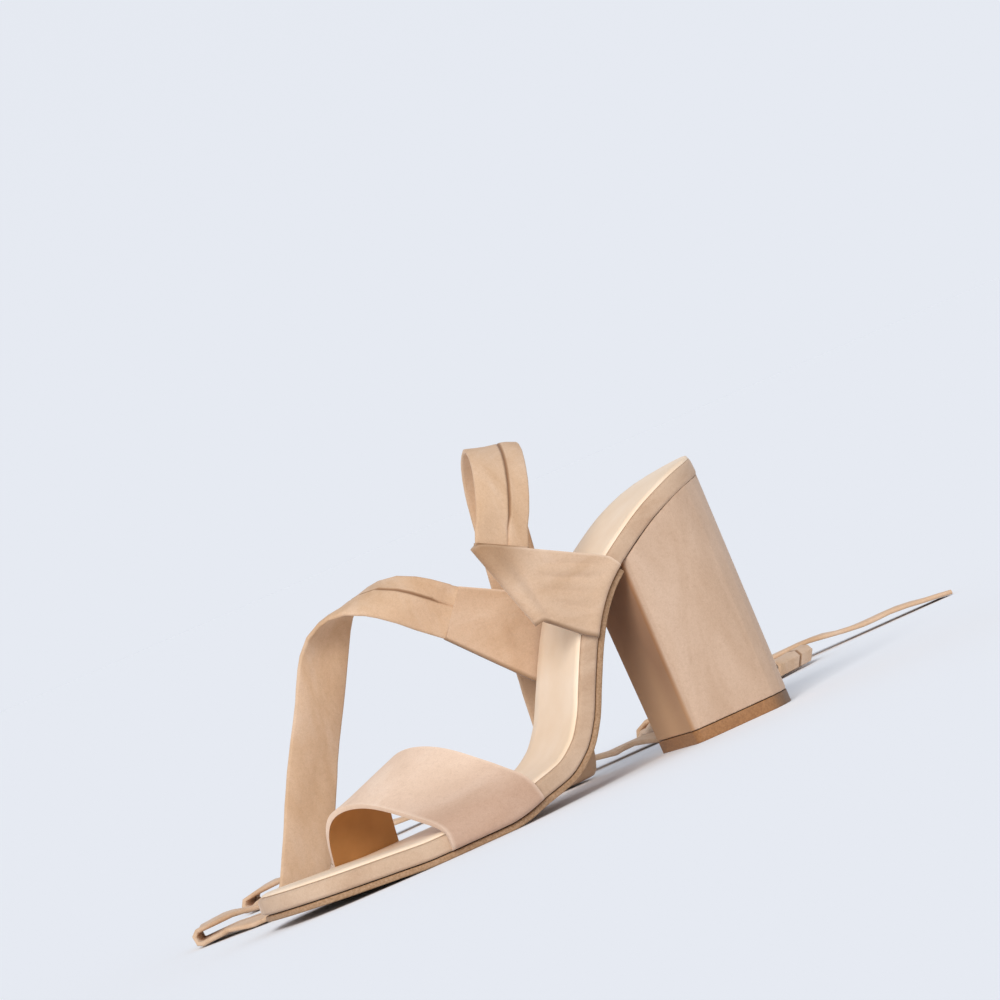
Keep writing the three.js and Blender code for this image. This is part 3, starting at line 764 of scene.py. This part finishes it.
def breast_shade(tree, here, colour):
    """Painted shade: the breast is darker and browner, most of all high up in the arch's shadow and
    along its outer corner.
    """
    x, y, z = (split(tree, here, axis) for axis in "XYZ")
    behind = calculate(tree, "MULTIPLY_ADD", z, BREAST_LEAN, y)
    on_breast = fade(tree, behind, (BREAST_PLACE, BREAST_PLACE + BREAST_FADE), (0.9, 0.0))
    high = fade(tree, z, (0.2 * BREAST_TOP, BREAST_TOP), (0.0, 0.75), "LINEAR")
    outer = fade(tree, x, (0.0, BREAST_SIDE), (0.0, 0.25))
    brown = ramp(tree, calculate(tree, "ADD", high, outer),
                 [(0.0, "#C89B70"), (0.5, "#A0714A"), (1.0, "#A8764E")])
    return blend(tree, on_breast, colour, brown)


# %% The ties' seam
SEAM_MARK = "from_seam"
GROOVE_MM = (0.2, 1.1)


def seam_mark(tree, here, colour):
    """The seam's groove is browner: the strip carries its distance from the seam in mm."""
    distance = node(tree, "ShaderNodeAttribute", {"attribute_name": SEAM_MARK}).outputs["Fac"]
    return blend(tree, fade(tree, distance, GROOVE_MM, (0.85, 0.0)), colour, linear("#8A6446"))


# %% The five suedes
# All five are one suede. The toe band's tones are paler than the heel's and the footbed's: partly
# painted light, where it faces the light from above.
heel_suede = suede("suede_heel", "#D4B79F", "#CDAF96", "#C5A68C", UPRIGHT, breast_shade)
footbed_suede = suede("suede_footbed", "#D4B89E", "#CBAD92", "#BE9D81", ALONG_SHOE)
band_suede = suede("suede_toe_band", "#F3D9C3", "#EED1B9", "#E6C8AF", ALONG_SHOE, band_low_shade,
                   highlighted_edges)
tab_suede = suede("suede_tabs", "#DFC2A8", "#D8B89B", "#CEAC8D", ALONG_SHOE, tab_edges, fold_shade)
tie_suede = suede("suede_ties", "#E1C3A8", "#DAB898", "#CFAA87", UPRIGHT, seam_mark)
print("suede nap drawn at", NAP_MM, "mm")

# %% [markdown]
# ## Smooth leathers and the rubbers
# The sock and the linings are grain leather: smooth, fairly matt, with fine pebbled pores. The
# thin outsole is a brown moulded sheet with a cut edge, and the heel stands on a hard, darker
# top piece. All four have a base colour, a fine pattern of their own, and a plain gloss, and the
# top piece is darker towards its back end. A picture of real leather wrapped round the pieces
# would also do, but noise and cells at a real size have no joins and no stretch.

# %% Grain leather
GRAIN_MM = 0.7
GRAIN_DEPTH = 0.08 * MM
STAIN_MM = 22


def grain_leather(name, light, dark, roughness):
    material, tree, shader, here = blank(name)
    colour = ramp(tree, noise(tree, here, STAIN_MM, Detail=4), [(0.35, dark), (0.65, light)])
    grain = node(tree, "ShaderNodeTexVoronoi", {"feature": "DISTANCE_TO_EDGE"}, Vector=here,
                 Scale=scale_of(GRAIN_MM), Randomness=1)
    bump = node(tree, "ShaderNodeBump", Height=grain.outputs["Distance"], Strength=0.25,
                Distance=GRAIN_DEPTH)
    connect(tree, shader, Base_Color=colour, Normal=bump.outputs["Normal"], Roughness=roughness,
            IOR=1.5)
    return material


sock_leather = grain_leather("leather_sock", "#F7E0C6", "#F0D5B6", 0.55)
lining_leather = grain_leather("leather_lining", "#C0894F", "#A8743F", 0.5)
print("leather grain drawn at", GRAIN_MM, "mm")

# %% Moulded rubber
SPECK_MM = 0.8
SPECK_DEPTH = 0.1 * MM
DARK_END_LENGTH = 9 * MM


def darker_back_end(tree, here, colour):
    """The heel's top piece is darker towards its back end."""
    back = in_frame(Vector((0, SHOE_LENGTH, 0))).y
    share = fade(tree, split(tree, here, "Y"), (back - 2 * DARK_END_LENGTH, back - DARK_END_LENGTH), (0.0, 0.7))
    return blend(tree, share, colour, linear("#5F4A36"))


def rubber(name, light, dark, roughness, *details):
    material, tree, shader, here = blank(name)
    specks = noise(tree, here, SPECK_MM, Detail=5, Roughness=0.7)
    colour = ramp(tree, specks, [(0.40, dark), (0.62, light)])
    for detail in details:
        colour = detail(tree, here, colour)
    bump = node(tree, "ShaderNodeBump", Height=specks, Strength=0.3, Distance=SPECK_DEPTH)
    connect(tree, shader, Base_Color=colour, Normal=bump.outputs["Normal"], Roughness=roughness,
            IOR=1.52)
    return material


sole_rubber = rubber("rubber_outsole", "#B08D6D", "#94714F", 0.7)
top_rubber = rubber("rubber_heel_top", "#A5764A", "#8E613A", 0.55, darker_back_end)
print("rubber specks drawn at", SPECK_MM, "mm")

# %% [markdown]
# ## The sole's layers
# The outsole, the suede-covered footbed and the sock lie on each other and all follow the same
# bent surface. Each is a cylinder turned along the shoe: its rings are the section at each
# station, with rounded edges, and the stations crowd together where the toe and seat are round.
# A flat sheet bent with a curve would be quicker, but its edges would have no true round. The
# sock's edge is skived, which is pared thin, and the footbed's suede is pleated at one place.

# %% Stations along the shoe
END_STATIONS = 22
MIDDLE_STATIONS = 240
SAMPLES = 600


def spread_stations():
    """Stations spread evenly along the sole's curve, and closer together at its round ends."""
    lengths = [0.0]
    for i in range(SAMPLES):
        climb = rise_at((i + 1) / SAMPLES) - rise_at(i / SAMPLES)
        lengths.append(lengths[-1] + math.hypot(climb, SHOE_LENGTH / SAMPLES))

    def station_at(length):
        i = next((i for i, value in enumerate(lengths) if value > length), SAMPLES) - 1
        return (i + (length - lengths[i]) / (lengths[i + 1] - lengths[i])) / SAMPLES

    total = lengths[-1]
    toe = lengths[round(END_ROUND / SHOE_LENGTH * SAMPLES)]
    seat = total - lengths[round((1 - END_ROUND / SHOE_LENGTH) * SAMPLES)]
    angles = [math.radians(mix(0, 90, i / END_STATIONS)) for i in range(END_STATIONS)]
    start = [toe * (1 - math.cos(angle)) for angle in angles]
    end = [total - seat * (1 - math.cos(angle)) for angle in reversed(angles)]
    middle = [mix(toe, total - seat, i / MIDDLE_STATIONS) for i in range(MIDDLE_STATIONS + 1)]
    return [station_at(length) for length in start + middle + end]


stations = spread_stations()
print(len(stations), "stations")

# %% Sections with round edges
ACROSS_STEPS = 8
ROUND_STEPS = 4


def round_section(bottom, top, inset, edge_round, skived=0):
    """(across, inset, height) round a layer, each corner a quarter circle. A skived layer is
    pared down from its top over that width."""
    section = []
    for side, up in ((1, -1), (1, 1), (-1, 1), (-1, -1)):
        reach = rise = edge_round
        if skived and up > 0:
            reach = skived
            rise = top - bottom - edge_round
        middle = bottom + rise if up < 0 else top - rise
        turns = [math.pi / 2 * i / ROUND_STEPS for i in range(ROUND_STEPS + 1)]
        corner = [(side, inset + reach * (1 - math.cos(turn)), middle + up * rise * math.sin(turn))
                  for turn in turns]
        section += corner if side * up > 0 else corner[::-1]
        if side * up > 0:
            flat = bottom if up < 0 else top
            section += [(side * (1 - 2 * i / ACROSS_STEPS), inset + reach, flat)
                        for i in range(1, ACROSS_STEPS)]
    return section


# %% A layer that follows the sole
# How much of its round and inset a layer's edge has, from the toe to the back of the seat
softness = curve([(0.0, 1.5), (0.12, 1.2), (0.5, 1.0), (0.92, 0.8), (1.0, 0.35)])
PLEATS_MIDDLE = 0.815
PLEATS_HALF = 0.025
PLEAT_PITCH = 2.6
PLEAT_DEPTH = 0.35
SEAT_END = 0.94


def pleat(share, across):
    """Small pleats of the wrapped suede where the outer edge bends most, behind the tab."""
    window = 1 - clamp(abs(share - PLEATS_MIDDLE) / PLEATS_HALF)
    wave = math.sin(math.pi * share * SHOE_LENGTH / PLEAT_PITCH)
    return PLEAT_DEPTH * window * clamp(across) * wave ** 2


def sole_layer(name, section, shares, tips=(-1, 1), pleated=False):
    """The section at each station; the back end stands in line with the heel's back."""
    def place(turn, along):
        across, inset, height = section[turn]
        share = shares[round(along * (len(shares) - 1))]
        inset = inset * softness(share) + (pleat(share, across) if pleated else 0)
        y = mix(inset, SHOE_LENGTH - inset, share)
        point = sole_point(y, across, inset, height)
        upright = clamp((share - SEAT_END) / (1 - SEAT_END)) ** 2
        point.y -= sole_normal(y).y * max(height - OUTSOLE_THICKNESS, 0) * upright
        return point

    return ringed_piece(name, len(section), len(shares) - 1, place, tips)


# %% Outsole, footbed and sock
OUTSOLE_INSET = 0.7
OUTSOLE_EDGE_ROUND = 0.6
SOCK_LIFT = 0.05
SOCK_THICKNESS = 1.1
SOCK_INSET = 1.2
SOCK_EDGE_ROUND = 0.3
SOCK_SKIVED = 2.4

breast_share = (heel_front - 2 * GAP) / SHOE_LENGTH
outsole_shares = [share for share in stations if share < breast_share] + [breast_share]
outsole_section = round_section(0, OUTSOLE_THICKNESS - GAP, OUTSOLE_INSET, OUTSOLE_EDGE_ROUND)
footbed_section = round_section(OUTSOLE_THICKNESS, FOOTBED_TOP, 0, FOOTBED_EDGE_ROUND)
sock_top = FOOTBED_TOP + GAP + SOCK_THICKNESS
sock_section = round_section(FOOTBED_TOP + SOCK_LIFT, sock_top, SOCK_INSET, SOCK_EDGE_ROUND,
                             SOCK_SKIVED)
outsole = sole_layer("outsole_sheet", outsole_section, outsole_shares, tips=(-1,))
footbed = sole_layer("footbed_wrapped", footbed_section, stations, pleated=True)
sock = sole_layer("sock_lining", sock_section, stations)

for piece in (outsole, footbed, sock):
    smooth(piece)
dress(outsole, "outsole", "outsole_rubber", sole_rubber)
dress(footbed, "footbed", "suede", footbed_suede)
dress(sock, "insole", "insole_leather", sock_leather)

# %% [markdown]
# ## The block heel
# A block heel is a light core covered with the same suede, drawn tight over its soft corners.
# Its breast is flat, its back is round, and it widens up to the seat. A cube could be cut to it,
# but the outline changes from base to seat, so a cylinder's rings are set on the outline at each
# level. Bevel then gives the upper and lower rims the round of a covered edge.

# %% The heel's outline
HEEL_BASE_WIDTH = 43
HEEL_CORNER = 15
TOP_PIECE_THICKNESS = 4.6
SIDE_STEPS = 12
BACK_STEPS = 14
BREAST_STEPS = 10
BREAST_CORNER_STEPS = 6


def heel_outline():
    """(station from breast to back, place across from the inner side -1 to the outer 1), once
    round the heel."""
    corner = HEEL_CORNER / HEEL_BASE_LENGTH
    soft = BREAST_CORNER / HEEL_BASE_LENGTH
    face = 1 - BREAST_CORNER / (HEEL_BASE_WIDTH / 2)
    straight = [mix(soft, 1 - corner, i / SIDE_STEPS) for i in range(SIDE_STEPS)]
    back_turns = [math.pi / 2 * (1 - i / BACK_STEPS) for i in range(BACK_STEPS + 1)]
    back = [1 - corner * (1 - math.cos(turn)) for turn in back_turns]
    turns = [math.pi / 2 * i / BREAST_CORNER_STEPS for i in range(1, BREAST_CORNER_STEPS)]
    round_corner = [(soft * (1 - math.sin(turn)), mix(face, 1, math.cos(turn))) for turn in turns]
    outer = [(station, 1) for station in straight + back]
    inner = [(station, -1) for station in reversed(straight + back[:-1])]
    breast = [(0, mix(-face, face, i / BREAST_STEPS)) for i in range(BREAST_STEPS + 1)]
    return (outer + inner + [(station, -across) for station, across in round_corner] + breast
            + round_corner[::-1])


def heel_point(place_on_outline, z_share, low, high):
    """Low and high are a height, and how far the outline is on its way from base to seat."""
    station, across = place_on_outline
    widening = mix(low[1], high[1], z_share)
    base_y = SHOE_LENGTH - HEEL_BASE_SETBACK - HEEL_BASE_LENGTH * (1 - station)
    top_y = SHOE_LENGTH - HEEL_INSET - HEEL_TOP_LENGTH * (1 - station)
    from_back = min(1, (1 - station) * HEEL_BASE_LENGTH / HEEL_CORNER)
    base_x = across * HEEL_BASE_WIDTH / 2 * math.sqrt(1 - (1 - from_back) ** 2)
    top_x = mix(sole_edge(top_y, -1, HEEL_INSET), sole_edge(top_y, 1, HEEL_INSET), (across + 1) / 2)
    y = mix(base_y, top_y, widening)
    return Vector((mix(base_x, top_x, widening), y, mix(low[0], high[0](y), z_share)))


# %% Make the heel and the piece that it stands on
SEAM_FRONT_GAP = 0.45
SEAM_LENGTH = HEEL_TOP_LENGTH * 0.7
HEEL_LEVELS = 24
TOP_PIECE_LEVELS = 4
HEEL_EDGE_ROUND = 1.3
TOP_PIECE_EDGE_ROUND = 0.6
HEEL_SMOOTH_ANGLE = 40


def seat_underside(y):
    """The heel's top: open by a fine dark seam at the breast, closed over the rear half."""
    to_back = clamp((y - heel_front) / SEAM_LENGTH)
    gap = SEAM_FRONT_GAP * (1 - to_back * to_back * (3 - 2 * to_back))
    return rise_at(clamp(y / SHOE_LENGTH)) + (OUTSOLE_THICKNESS - gap) / sole_normal(y).z


def heel_part(name, levels, low, top, top_share):
    """From a flat level in mm up to a top that is worked out at each station."""
    def place(turn, up):
        return heel_point(outline[turn], up, (low, low / SEAT_HEIGHT), (top, top_share))

    return ringed_piece(name, len(outline), levels, place)


outline = heel_outline()
heel = heel_part("heel_cover", HEEL_LEVELS, TOP_PIECE_THICKNESS + GAP, seat_underside, 1)
round_edges(heel, HEEL_EDGE_ROUND, 4)

top_piece = heel_part("heel_top_lift", TOP_PIECE_LEVELS, 0, lambda y: TOP_PIECE_THICKNESS,
                      TOP_PIECE_THICKNESS / SEAT_HEIGHT)
round_edges(top_piece, TOP_PIECE_EDGE_ROUND)

for piece in (heel, top_piece):
    smooth(piece, HEEL_SMOOTH_ANGLE)
dress(heel, "heel_block", "suede", heel_suede)
dress(top_piece, "heel_top_piece", "heel_top_rubber", top_rubber)

# %% [markdown]
# ## The toe band
# The broad band is cut in one piece, lined, and lasted over the forefoot. Its crest lies over the
# great toe's side, it is higher at the back than at the front, and both feet are tucked under
# the footbed. It could be draped as cloth, but leather on a last keeps the form it was pulled to.
# So a grid follows its rows, subdivision rounds it, listed creases are pressed in, and Solidify
# gives it its wall, with suede outside and the lining's leather inside.

# %% Rows of the band
BAND_CREST_FRONT = 20.5
BAND_CREST_REAR = 30.8
BAND_STEPS = 15

# Place across from the outer edge to the inner one, and height as a share of the crest
BAND_ARCH = [
    (0.00, 0.00), (0.02, 0.13), (0.09, 0.30), (0.20, 0.52), (0.35, 0.77), (0.50, 0.94),
    (0.63, 1.00), (0.76, 0.96), (0.88, 0.78), (0.96, 0.44), (1.00, 0.00),
]

# Place across, and where the front and rear edges are as shares of the shoe's length
BAND_EDGES = [
    (0.00, 0.276, 0.463), (0.12, 0.260, 0.437), (0.30, 0.238, 0.400), (0.50, 0.219, 0.364),
    (0.75, 0.196, 0.331), (1.00, 0.186, 0.310),
]
band_height = curve(BAND_ARCH)
band_front = curve([(across, front * SHOE_LENGTH) for across, front, _ in BAND_EDGES])
band_rear = curve([(across, rear * SHOE_LENGTH) for across, _, rear in BAND_EDGES])


def band_point(across, share):
    y = mix(band_front(across), band_rear(across), share)
    crest = mix(BAND_CREST_FRONT, BAND_CREST_REAR, share)
    point = sole_point(y, 1 - 2 * across, 0, FOOTBED_TOP)
    return point + Vector((BESIDE * (1 - 2 * across), 0, crest * band_height(across)))


def band_rows():
    places = [(1 - math.cos(math.pi * i / BAND_STEPS)) / 2 for i in range(BAND_STEPS + 1)]
    arch = [lambda share, across=across: band_point(across, share) for across in places]

    def foot(side, across):
        return strap_foot(side, lambda share: mix(band_front(across), band_rear(across), share))

    return foot(1, 0) + arch + foot(-1, 1)[::-1]


# %% A strap as a place on its rows
def on_rows(rows):
    """place(share of its width, share of its rows), for any strap."""
    def place(across, along):
        reach = clamp(along) * (len(rows) - 1)
        i = min(int(reach + 1e-6), len(rows) - 2)
        return rows[i](across).lerp(rows[i + 1](across), reach - i)

    return place


# %% Make a strap
STRAP_COLUMNS = 8
STRAP_LEVELS = 3
STRAP_EDGE_ROUND = 0.6


def strap(name, rows, creases, outside, inside, inner_point):
    """Inner point lies on the foot's side of the strap, and tells the outside from the inside."""
    place = on_rows(rows)
    piece = sheet_piece(name, STRAP_COLUMNS, len(rows) - 1, place)
    piece.data.materials.append(outside)
    piece.data.materials.append(inside)
    modify(piece, "SUBSURF", levels=STRAP_LEVELS, render_levels=STRAP_LEVELS,
           boundary_smooth="PRESERVE_CORNERS")
    centre = in_frame(inner_point)
    facing = sum((face.center - centre).dot(face.normal) * face.area for face in piece.data.polygons)
    if facing < 0:
        only(piece)
        bpy.ops.object.mode_set(mode="EDIT")
        bpy.ops.mesh.select_all(action="SELECT")
        bpy.ops.mesh.flip_normals()
        bpy.ops.object.mode_set(mode="OBJECT")
    press(piece, place, creases)
    modify(piece, "SOLIDIFY", thickness=STRAP_THICKNESS * MM, offset=0, use_even_offset=True,
           material_offset=1)
    round_edges(piece, STRAP_EDGE_ROUND)
    smooth(piece)
    return piece


# %% Make the toe band
# (across, along) of both ends, reach and depth in mm
BAND_CREASES = [
    ((0.15, 0.20), (0.55, 0.26), 2.6, 0.35),
    ((0.60, 0.17), (0.95, 0.25), 3.0, 0.40),
    ((0.30, 0.30), (0.70, 0.34), 4.0, -0.30),
    ((0.10, 0.78), (0.60, 0.80), 3.0, 0.35),
    ((0.50, 0.74), (0.90, 0.77), 3.5, 0.30),
]
under_band = sole_point(SHOE_LENGTH * 0.33, 0, 0, FOOTBED_TOP)
band = strap("toe_band_lined", band_rows(), BAND_CREASES, band_suede, lining_leather, under_band)
dress(band, "toe_band", "suede")

# %% [markdown]
# ## The quarter tabs
# Two narrower straps rise from the waist and carry the ties. The outer one is folded back behind
# itself on a slanting crease, and the inner one runs straight on. They could be cut from one
# plane and bent by hooks, but the fold is exact when its rows are worked out. So both are made as
# the band is, with soft wrinkles where they bend up from the sole's edge.

# %% Make both tabs
LATERAL_CREASES = [
    ((0.86, 0.30), (0.80, 0.47), 1.3, 0.45),
    ((0.66, 0.30), (0.60, 0.50), 1.6, 0.55),
    ((0.76, 0.31), (0.70, 0.46), 1.4, -0.40),
    ((0.46, 0.31), (0.44, 0.52), 1.5, 0.45),
    ((0.26, 0.31), (0.30, 0.45), 1.6, 0.50),
    ((0.36, 0.30), (0.36, 0.46), 1.5, -0.35),
    ((0.10, 0.52), (0.95, 0.53), 2.4, 0.60),
    ((0.05, 0.565), (0.98, 0.57), 2.0, -0.45),
]
MEDIAL_CREASES = [
    ((0.20, 0.50), (0.28, 0.80), 1.8, 0.50),
    ((0.42, 0.52), (0.46, 0.88), 1.7, -0.45),
    ((0.62, 0.50), (0.60, 0.84), 1.8, 0.55),
    ((0.80, 0.52), (0.74, 0.78), 1.6, 0.45),
    ((0.05, 0.66), (0.60, 0.78), 2.6, 0.50),
]
above_arch = sole_point(SHOE_LENGTH * 0.7, 0, 0, FOOTBED_TOP)
for name, cad_node, tab, creases in (
    ("lateral_tab_folded", "lateral_tab", lateral, LATERAL_CREASES),
    ("medial_tab_lasted", "medial_tab", medial, MEDIAL_CREASES),
):
    tab_strap = strap(name, tab["rows"], creases, tab_suede, tab_suede, above_arch)
    dress(tab_strap, cad_node, "suede")

# %% [markdown]
# ## Making the ties
# The strip's section is flat with round folds at its edges, and has a groove where the two raw
# edges meet on its back, a little beside the middle. A curve with a bevel would twist the section
# as it likes, so the section is carried along the rings of the bends. Soft suede is never quite
# flat either: the strip curls, is creased, and rises in low waves where it lies.

# %% Section of a tie
EDGE_TURNS = 4
SEAM_PLACE = -2.4
SEAM_WIDTH = 1.3
SEAM_DEPTH = 0.55
SEAM_LIP = 1.15
SEAM_SHOULDER = 1.1


def tie_section():
    """(place across, height) once round: seam side, round edge, plain side, round edge."""
    thick = TIE_THICKNESS / 2
    flat = TIE_WIDTH / 2 - thick
    half = SEAM_WIDTH / 2
    seam = [(half * 2, thick * SEAM_SHOULDER), (half, thick * SEAM_LIP), (0, thick - SEAM_DEPTH),
            (-half, thick * SEAM_LIP), (-half * 2, thick * SEAM_SHOULDER)]
    seam_side = [(flat * share, thick) for share in (1, 0.6, 0.2)]
    seam_side += [(SEAM_PLACE + across, high) for across, high in seam]
    seam_side += [(flat * share, thick) for share in (-0.6, -1)]
    turns = [math.pi * i / EDGE_TURNS for i in range(1, EDGE_TURNS)]
    edge = [(-flat - thick * math.sin(turn), thick * math.cos(turn)) for turn in turns]
    plain = [(across, -thick) for across in (-flat, -flat / 2, 0.0, flat / 2, flat)]
    return seam_side + edge + plain + [(-across, high) for across, high in edge[::-1]]


# %% A soft strip's creases, and its low waves on the floor
TIE_RING_STEP = 2.5
TIE_CREASE_ENDS = (0.15, 0.85)
RIPPLE = 1.3
RIPPLE_RUN = 10


def tie_crease(creases, run, across):
    """How far the strip is pressed out of its plane there, by soft creases drawn on it flat."""
    point = Vector((run, across))
    return sum(crease_depth(point, Vector(start), Vector(end), reach, height, TIE_CREASE_ENDS)
               for start, end, reach, height in creases)


def fine_rings(rings):
    """(ring, share towards the next, ripple there) with no step longer than the ring step."""
    fine = []
    for i in range(len(rings) - 1):
        step = (rings[i + 1](0, 0) - rings[i](0, 0)).length
        count = max(1, math.ceil(step / TIE_RING_STEP))
        height = RIPPLE if step > RIPPLE_RUN else 0
        fine += [(i, part / count, height * math.sin(math.pi * part / count) ** 2)
                 for part in range(count)]
    return fine + [(len(rings) - 2, 1.0, 0)]


# %% The seam's mark
SEAM_START = 12


def mark_seam(tie, section, travelled):
    """Each point keeps its distance in mm from the seam; points off the seam side are far."""
    mark = tie.data.attributes.new(SEAM_MARK, "FLOAT", "POINT")
    for i, (turn, share) in enumerate(RING_PLACES[tie.name]):
        across, high = section[turn]
        run = travelled[round(share * (len(travelled) - 1))]
        before = 1 - clamp(run / SEAM_START)
        mark.data[i].value = abs(across - SEAM_PLACE) + before if high > 0 else TIE_WIDTH


# %% Make a tie
CURL = 0.4
CURL_LENGTH = 47
RIPPLE_LEAN = 0.6
FLOOR_REST = 0.05
TIE_SMOOTH_ANGLE = 60


def make_tie(name, cad_node, creases):
    rings = TIE_RINGS[cad_node]
    fine = fine_rings(rings)
    section = tie_section()

    def at(station, across, high):
        i, share, _ = fine[station]
        return rings[i](across, high).lerp(rings[i + 1](across, high), share)

    middles = [at(station, 0, 0) for station in range(len(fine))]
    travelled = [0.0]
    for before, after in zip(middles, middles[1:]):
        travelled.append(travelled[-1] + (after - before).length)

    def place(turn, along):
        station = round(along * (len(fine) - 1))
        across, high = section[turn]
        run = travelled[station]
        if high > 0:
            high = mix(min(high, TIE_THICKNESS / 2), high, clamp(run / SEAM_START))
        wave = (1 + math.sin(2 * math.pi * run / CURL_LENGTH)) / 2
        curl = CURL * (across / TIE_WIDTH * 2) ** 2 * wave + tie_crease(creases, run, across)
        facing = at(station, 0, 1) - middles[station]
        up = facing if facing.z > 0 else -facing
        lean = 1 + RIPPLE_LEAN * across / TIE_WIDTH * math.sin(run)
        point = at(station, across, high + curl) + up * (fine[station][2] * lean)
        point.z = max(point.z, FLOOR_REST)
        return point

    tie = ringed_piece(name, len(section), len(fine) - 1, place)
    mark_seam(tie, section, travelled)
    smooth(tie, TIE_SMOOTH_ANGLE)
    dress(tie, cad_node, "suede", tie_suede)
    print(name, "is", round(travelled[-1]), "mm long")


# %% Make both ties
# (run, across) start and end on the flat strip, reach and height in mm
LATERAL_TIE_CREASES = [
    ((4, 9), (34, 2), 3.0, 1.0), ((8, -9), (26, -4), 2.4, -0.8), ((30, 9), (44, 5), 2.5, 0.8),
    ((36, -9), (52, -3), 3.0, 0.9), ((58, 8), (74, -2), 3.5, -1.0), ((70, -9), (90, 0), 3.0, 0.9),
    ((96, 9), (120, -4), 4.0, 1.1), ((130, -9), (150, 2), 3.5, -0.8), ((160, 9), (178, 0), 3.0, 0.7),
    ((215, -9), (235, 3), 3.4, 0.7), ((290, 9), (306, 1), 3.0, 0.6), ((420, -8), (440, 2), 3.2, 0.7),
]
MEDIAL_TIE_CREASES = [
    ((2, 8), (30, -1), 3.2, 1.1), ((10, -9), (40, -5), 2.6, -0.9), ((24, 9), (50, 6), 2.6, 0.8),
    ((52, -8), (70, 3), 3.4, 1.0), ((76, 9), (96, -2), 3.6, -1.0), ((100, -9), (124, 0), 3.6, 0.9),
    ((135, 9), (150, 0), 3.2, 0.8), ((200, -9), (222, 2), 3.4, 0.7), ((275, 9), (290, 2), 3.0, 0.6),
    ((400, -8), (420, 2), 3.2, 0.7),
]
make_tie("lateral_tie_strip", "lateral_tie", LATERAL_TIE_CREASES)
make_tie("medial_tie_strip", "medial_tie", MEDIAL_TIE_CREASES)

# %% [markdown]
# ## Floor, light and world
# The shoe stands on a plain pale floor under a pale sky of light, as in a light tent. A backdrop
# behind it would be in the way of other views, so the floor is simply large and the world behind
# it has the same tone at the horizon. The key light is placed from the picture's own directions:
# it comes from the upper left, so the soft shadows fall to the lower right. Its strength is
# worked out, not tried: the far floor shall send as much light as the world at the horizon.

# %% The floor
FLOOR_TONE = linear("#F4F6FA")
FLOOR_SIZE = 60
FIBRE_MM = 3
FIBRE_DEPTH = 0.1 * MM


def paint_floor():
    material, tree, shader, here = blank("floor_paper")
    bump = node(tree, "ShaderNodeBump", Height=noise(tree, here, FIBRE_MM), Strength=0.1,
                Distance=FIBRE_DEPTH)
    connect(tree, shader, Base_Color=FLOOR_TONE, Normal=bump.outputs["Normal"], Roughness=1.0,
            Specular_IOR_Level=0.0)
    return material


bpy.ops.object.select_all(action="DESELECT")
bpy.ops.mesh.primitive_plane_add(size=FLOOR_SIZE, location=(0, 0, 0))
floor = bpy.context.object
floor.name = "studio_floor"
floor.data.materials.append(paint_floor())
print("floor:", FLOOR_SIZE, "m wide")

# %% The world
HORIZON = linear("#E6EAF2")
OVERHEAD = linear("#8A8E94")
world = bpy.data.worlds.new("pale_studio")
world.use_nodes = True
sky = world.node_tree
direction = node(sky, "ShaderNodeTexCoord").outputs["Generated"]
steep = calculate(sky, "POWER", split(sky, direction, "Z"), 2.0)
connect(sky, sky.nodes["Background"], Color=blend(sky, steep, HORIZON, OVERHEAD))
bpy.context.scene.world = world
print("world:", world.name)

# %% The key light
# With this sky the floor gets the mean of both tones, and the key gives the rest
KEY = (-0.4, 0.5, 0.9)
KEY_ANGLE = 28
key_from = (picture_right * KEY[0] + picture_up * KEY[1] + towards * KEY[2]).normalized()
missing = [low / tone - (low + high) / 2
           for low, high, tone in zip(HORIZON[:3], OVERHEAD[:3], FLOOR_TONE[:3])]
bpy.ops.object.light_add(type="SUN", location=key_from)
key = bpy.context.object
key.name = "key"
key.data.energy = max(missing) * math.pi / key_from.z
key.data.color = [share / max(missing) for share in missing]
key.data.angle = math.radians(KEY_ANGLE)
key.rotation_euler = key_from.to_track_quat("Z", "Y").to_euler()
print("key:", round(key.data.energy, 2), "W/m2, tint", [round(value, 2) for value in key.data.color])
bpy.context.scene.view_settings.view_transform = "Standard"
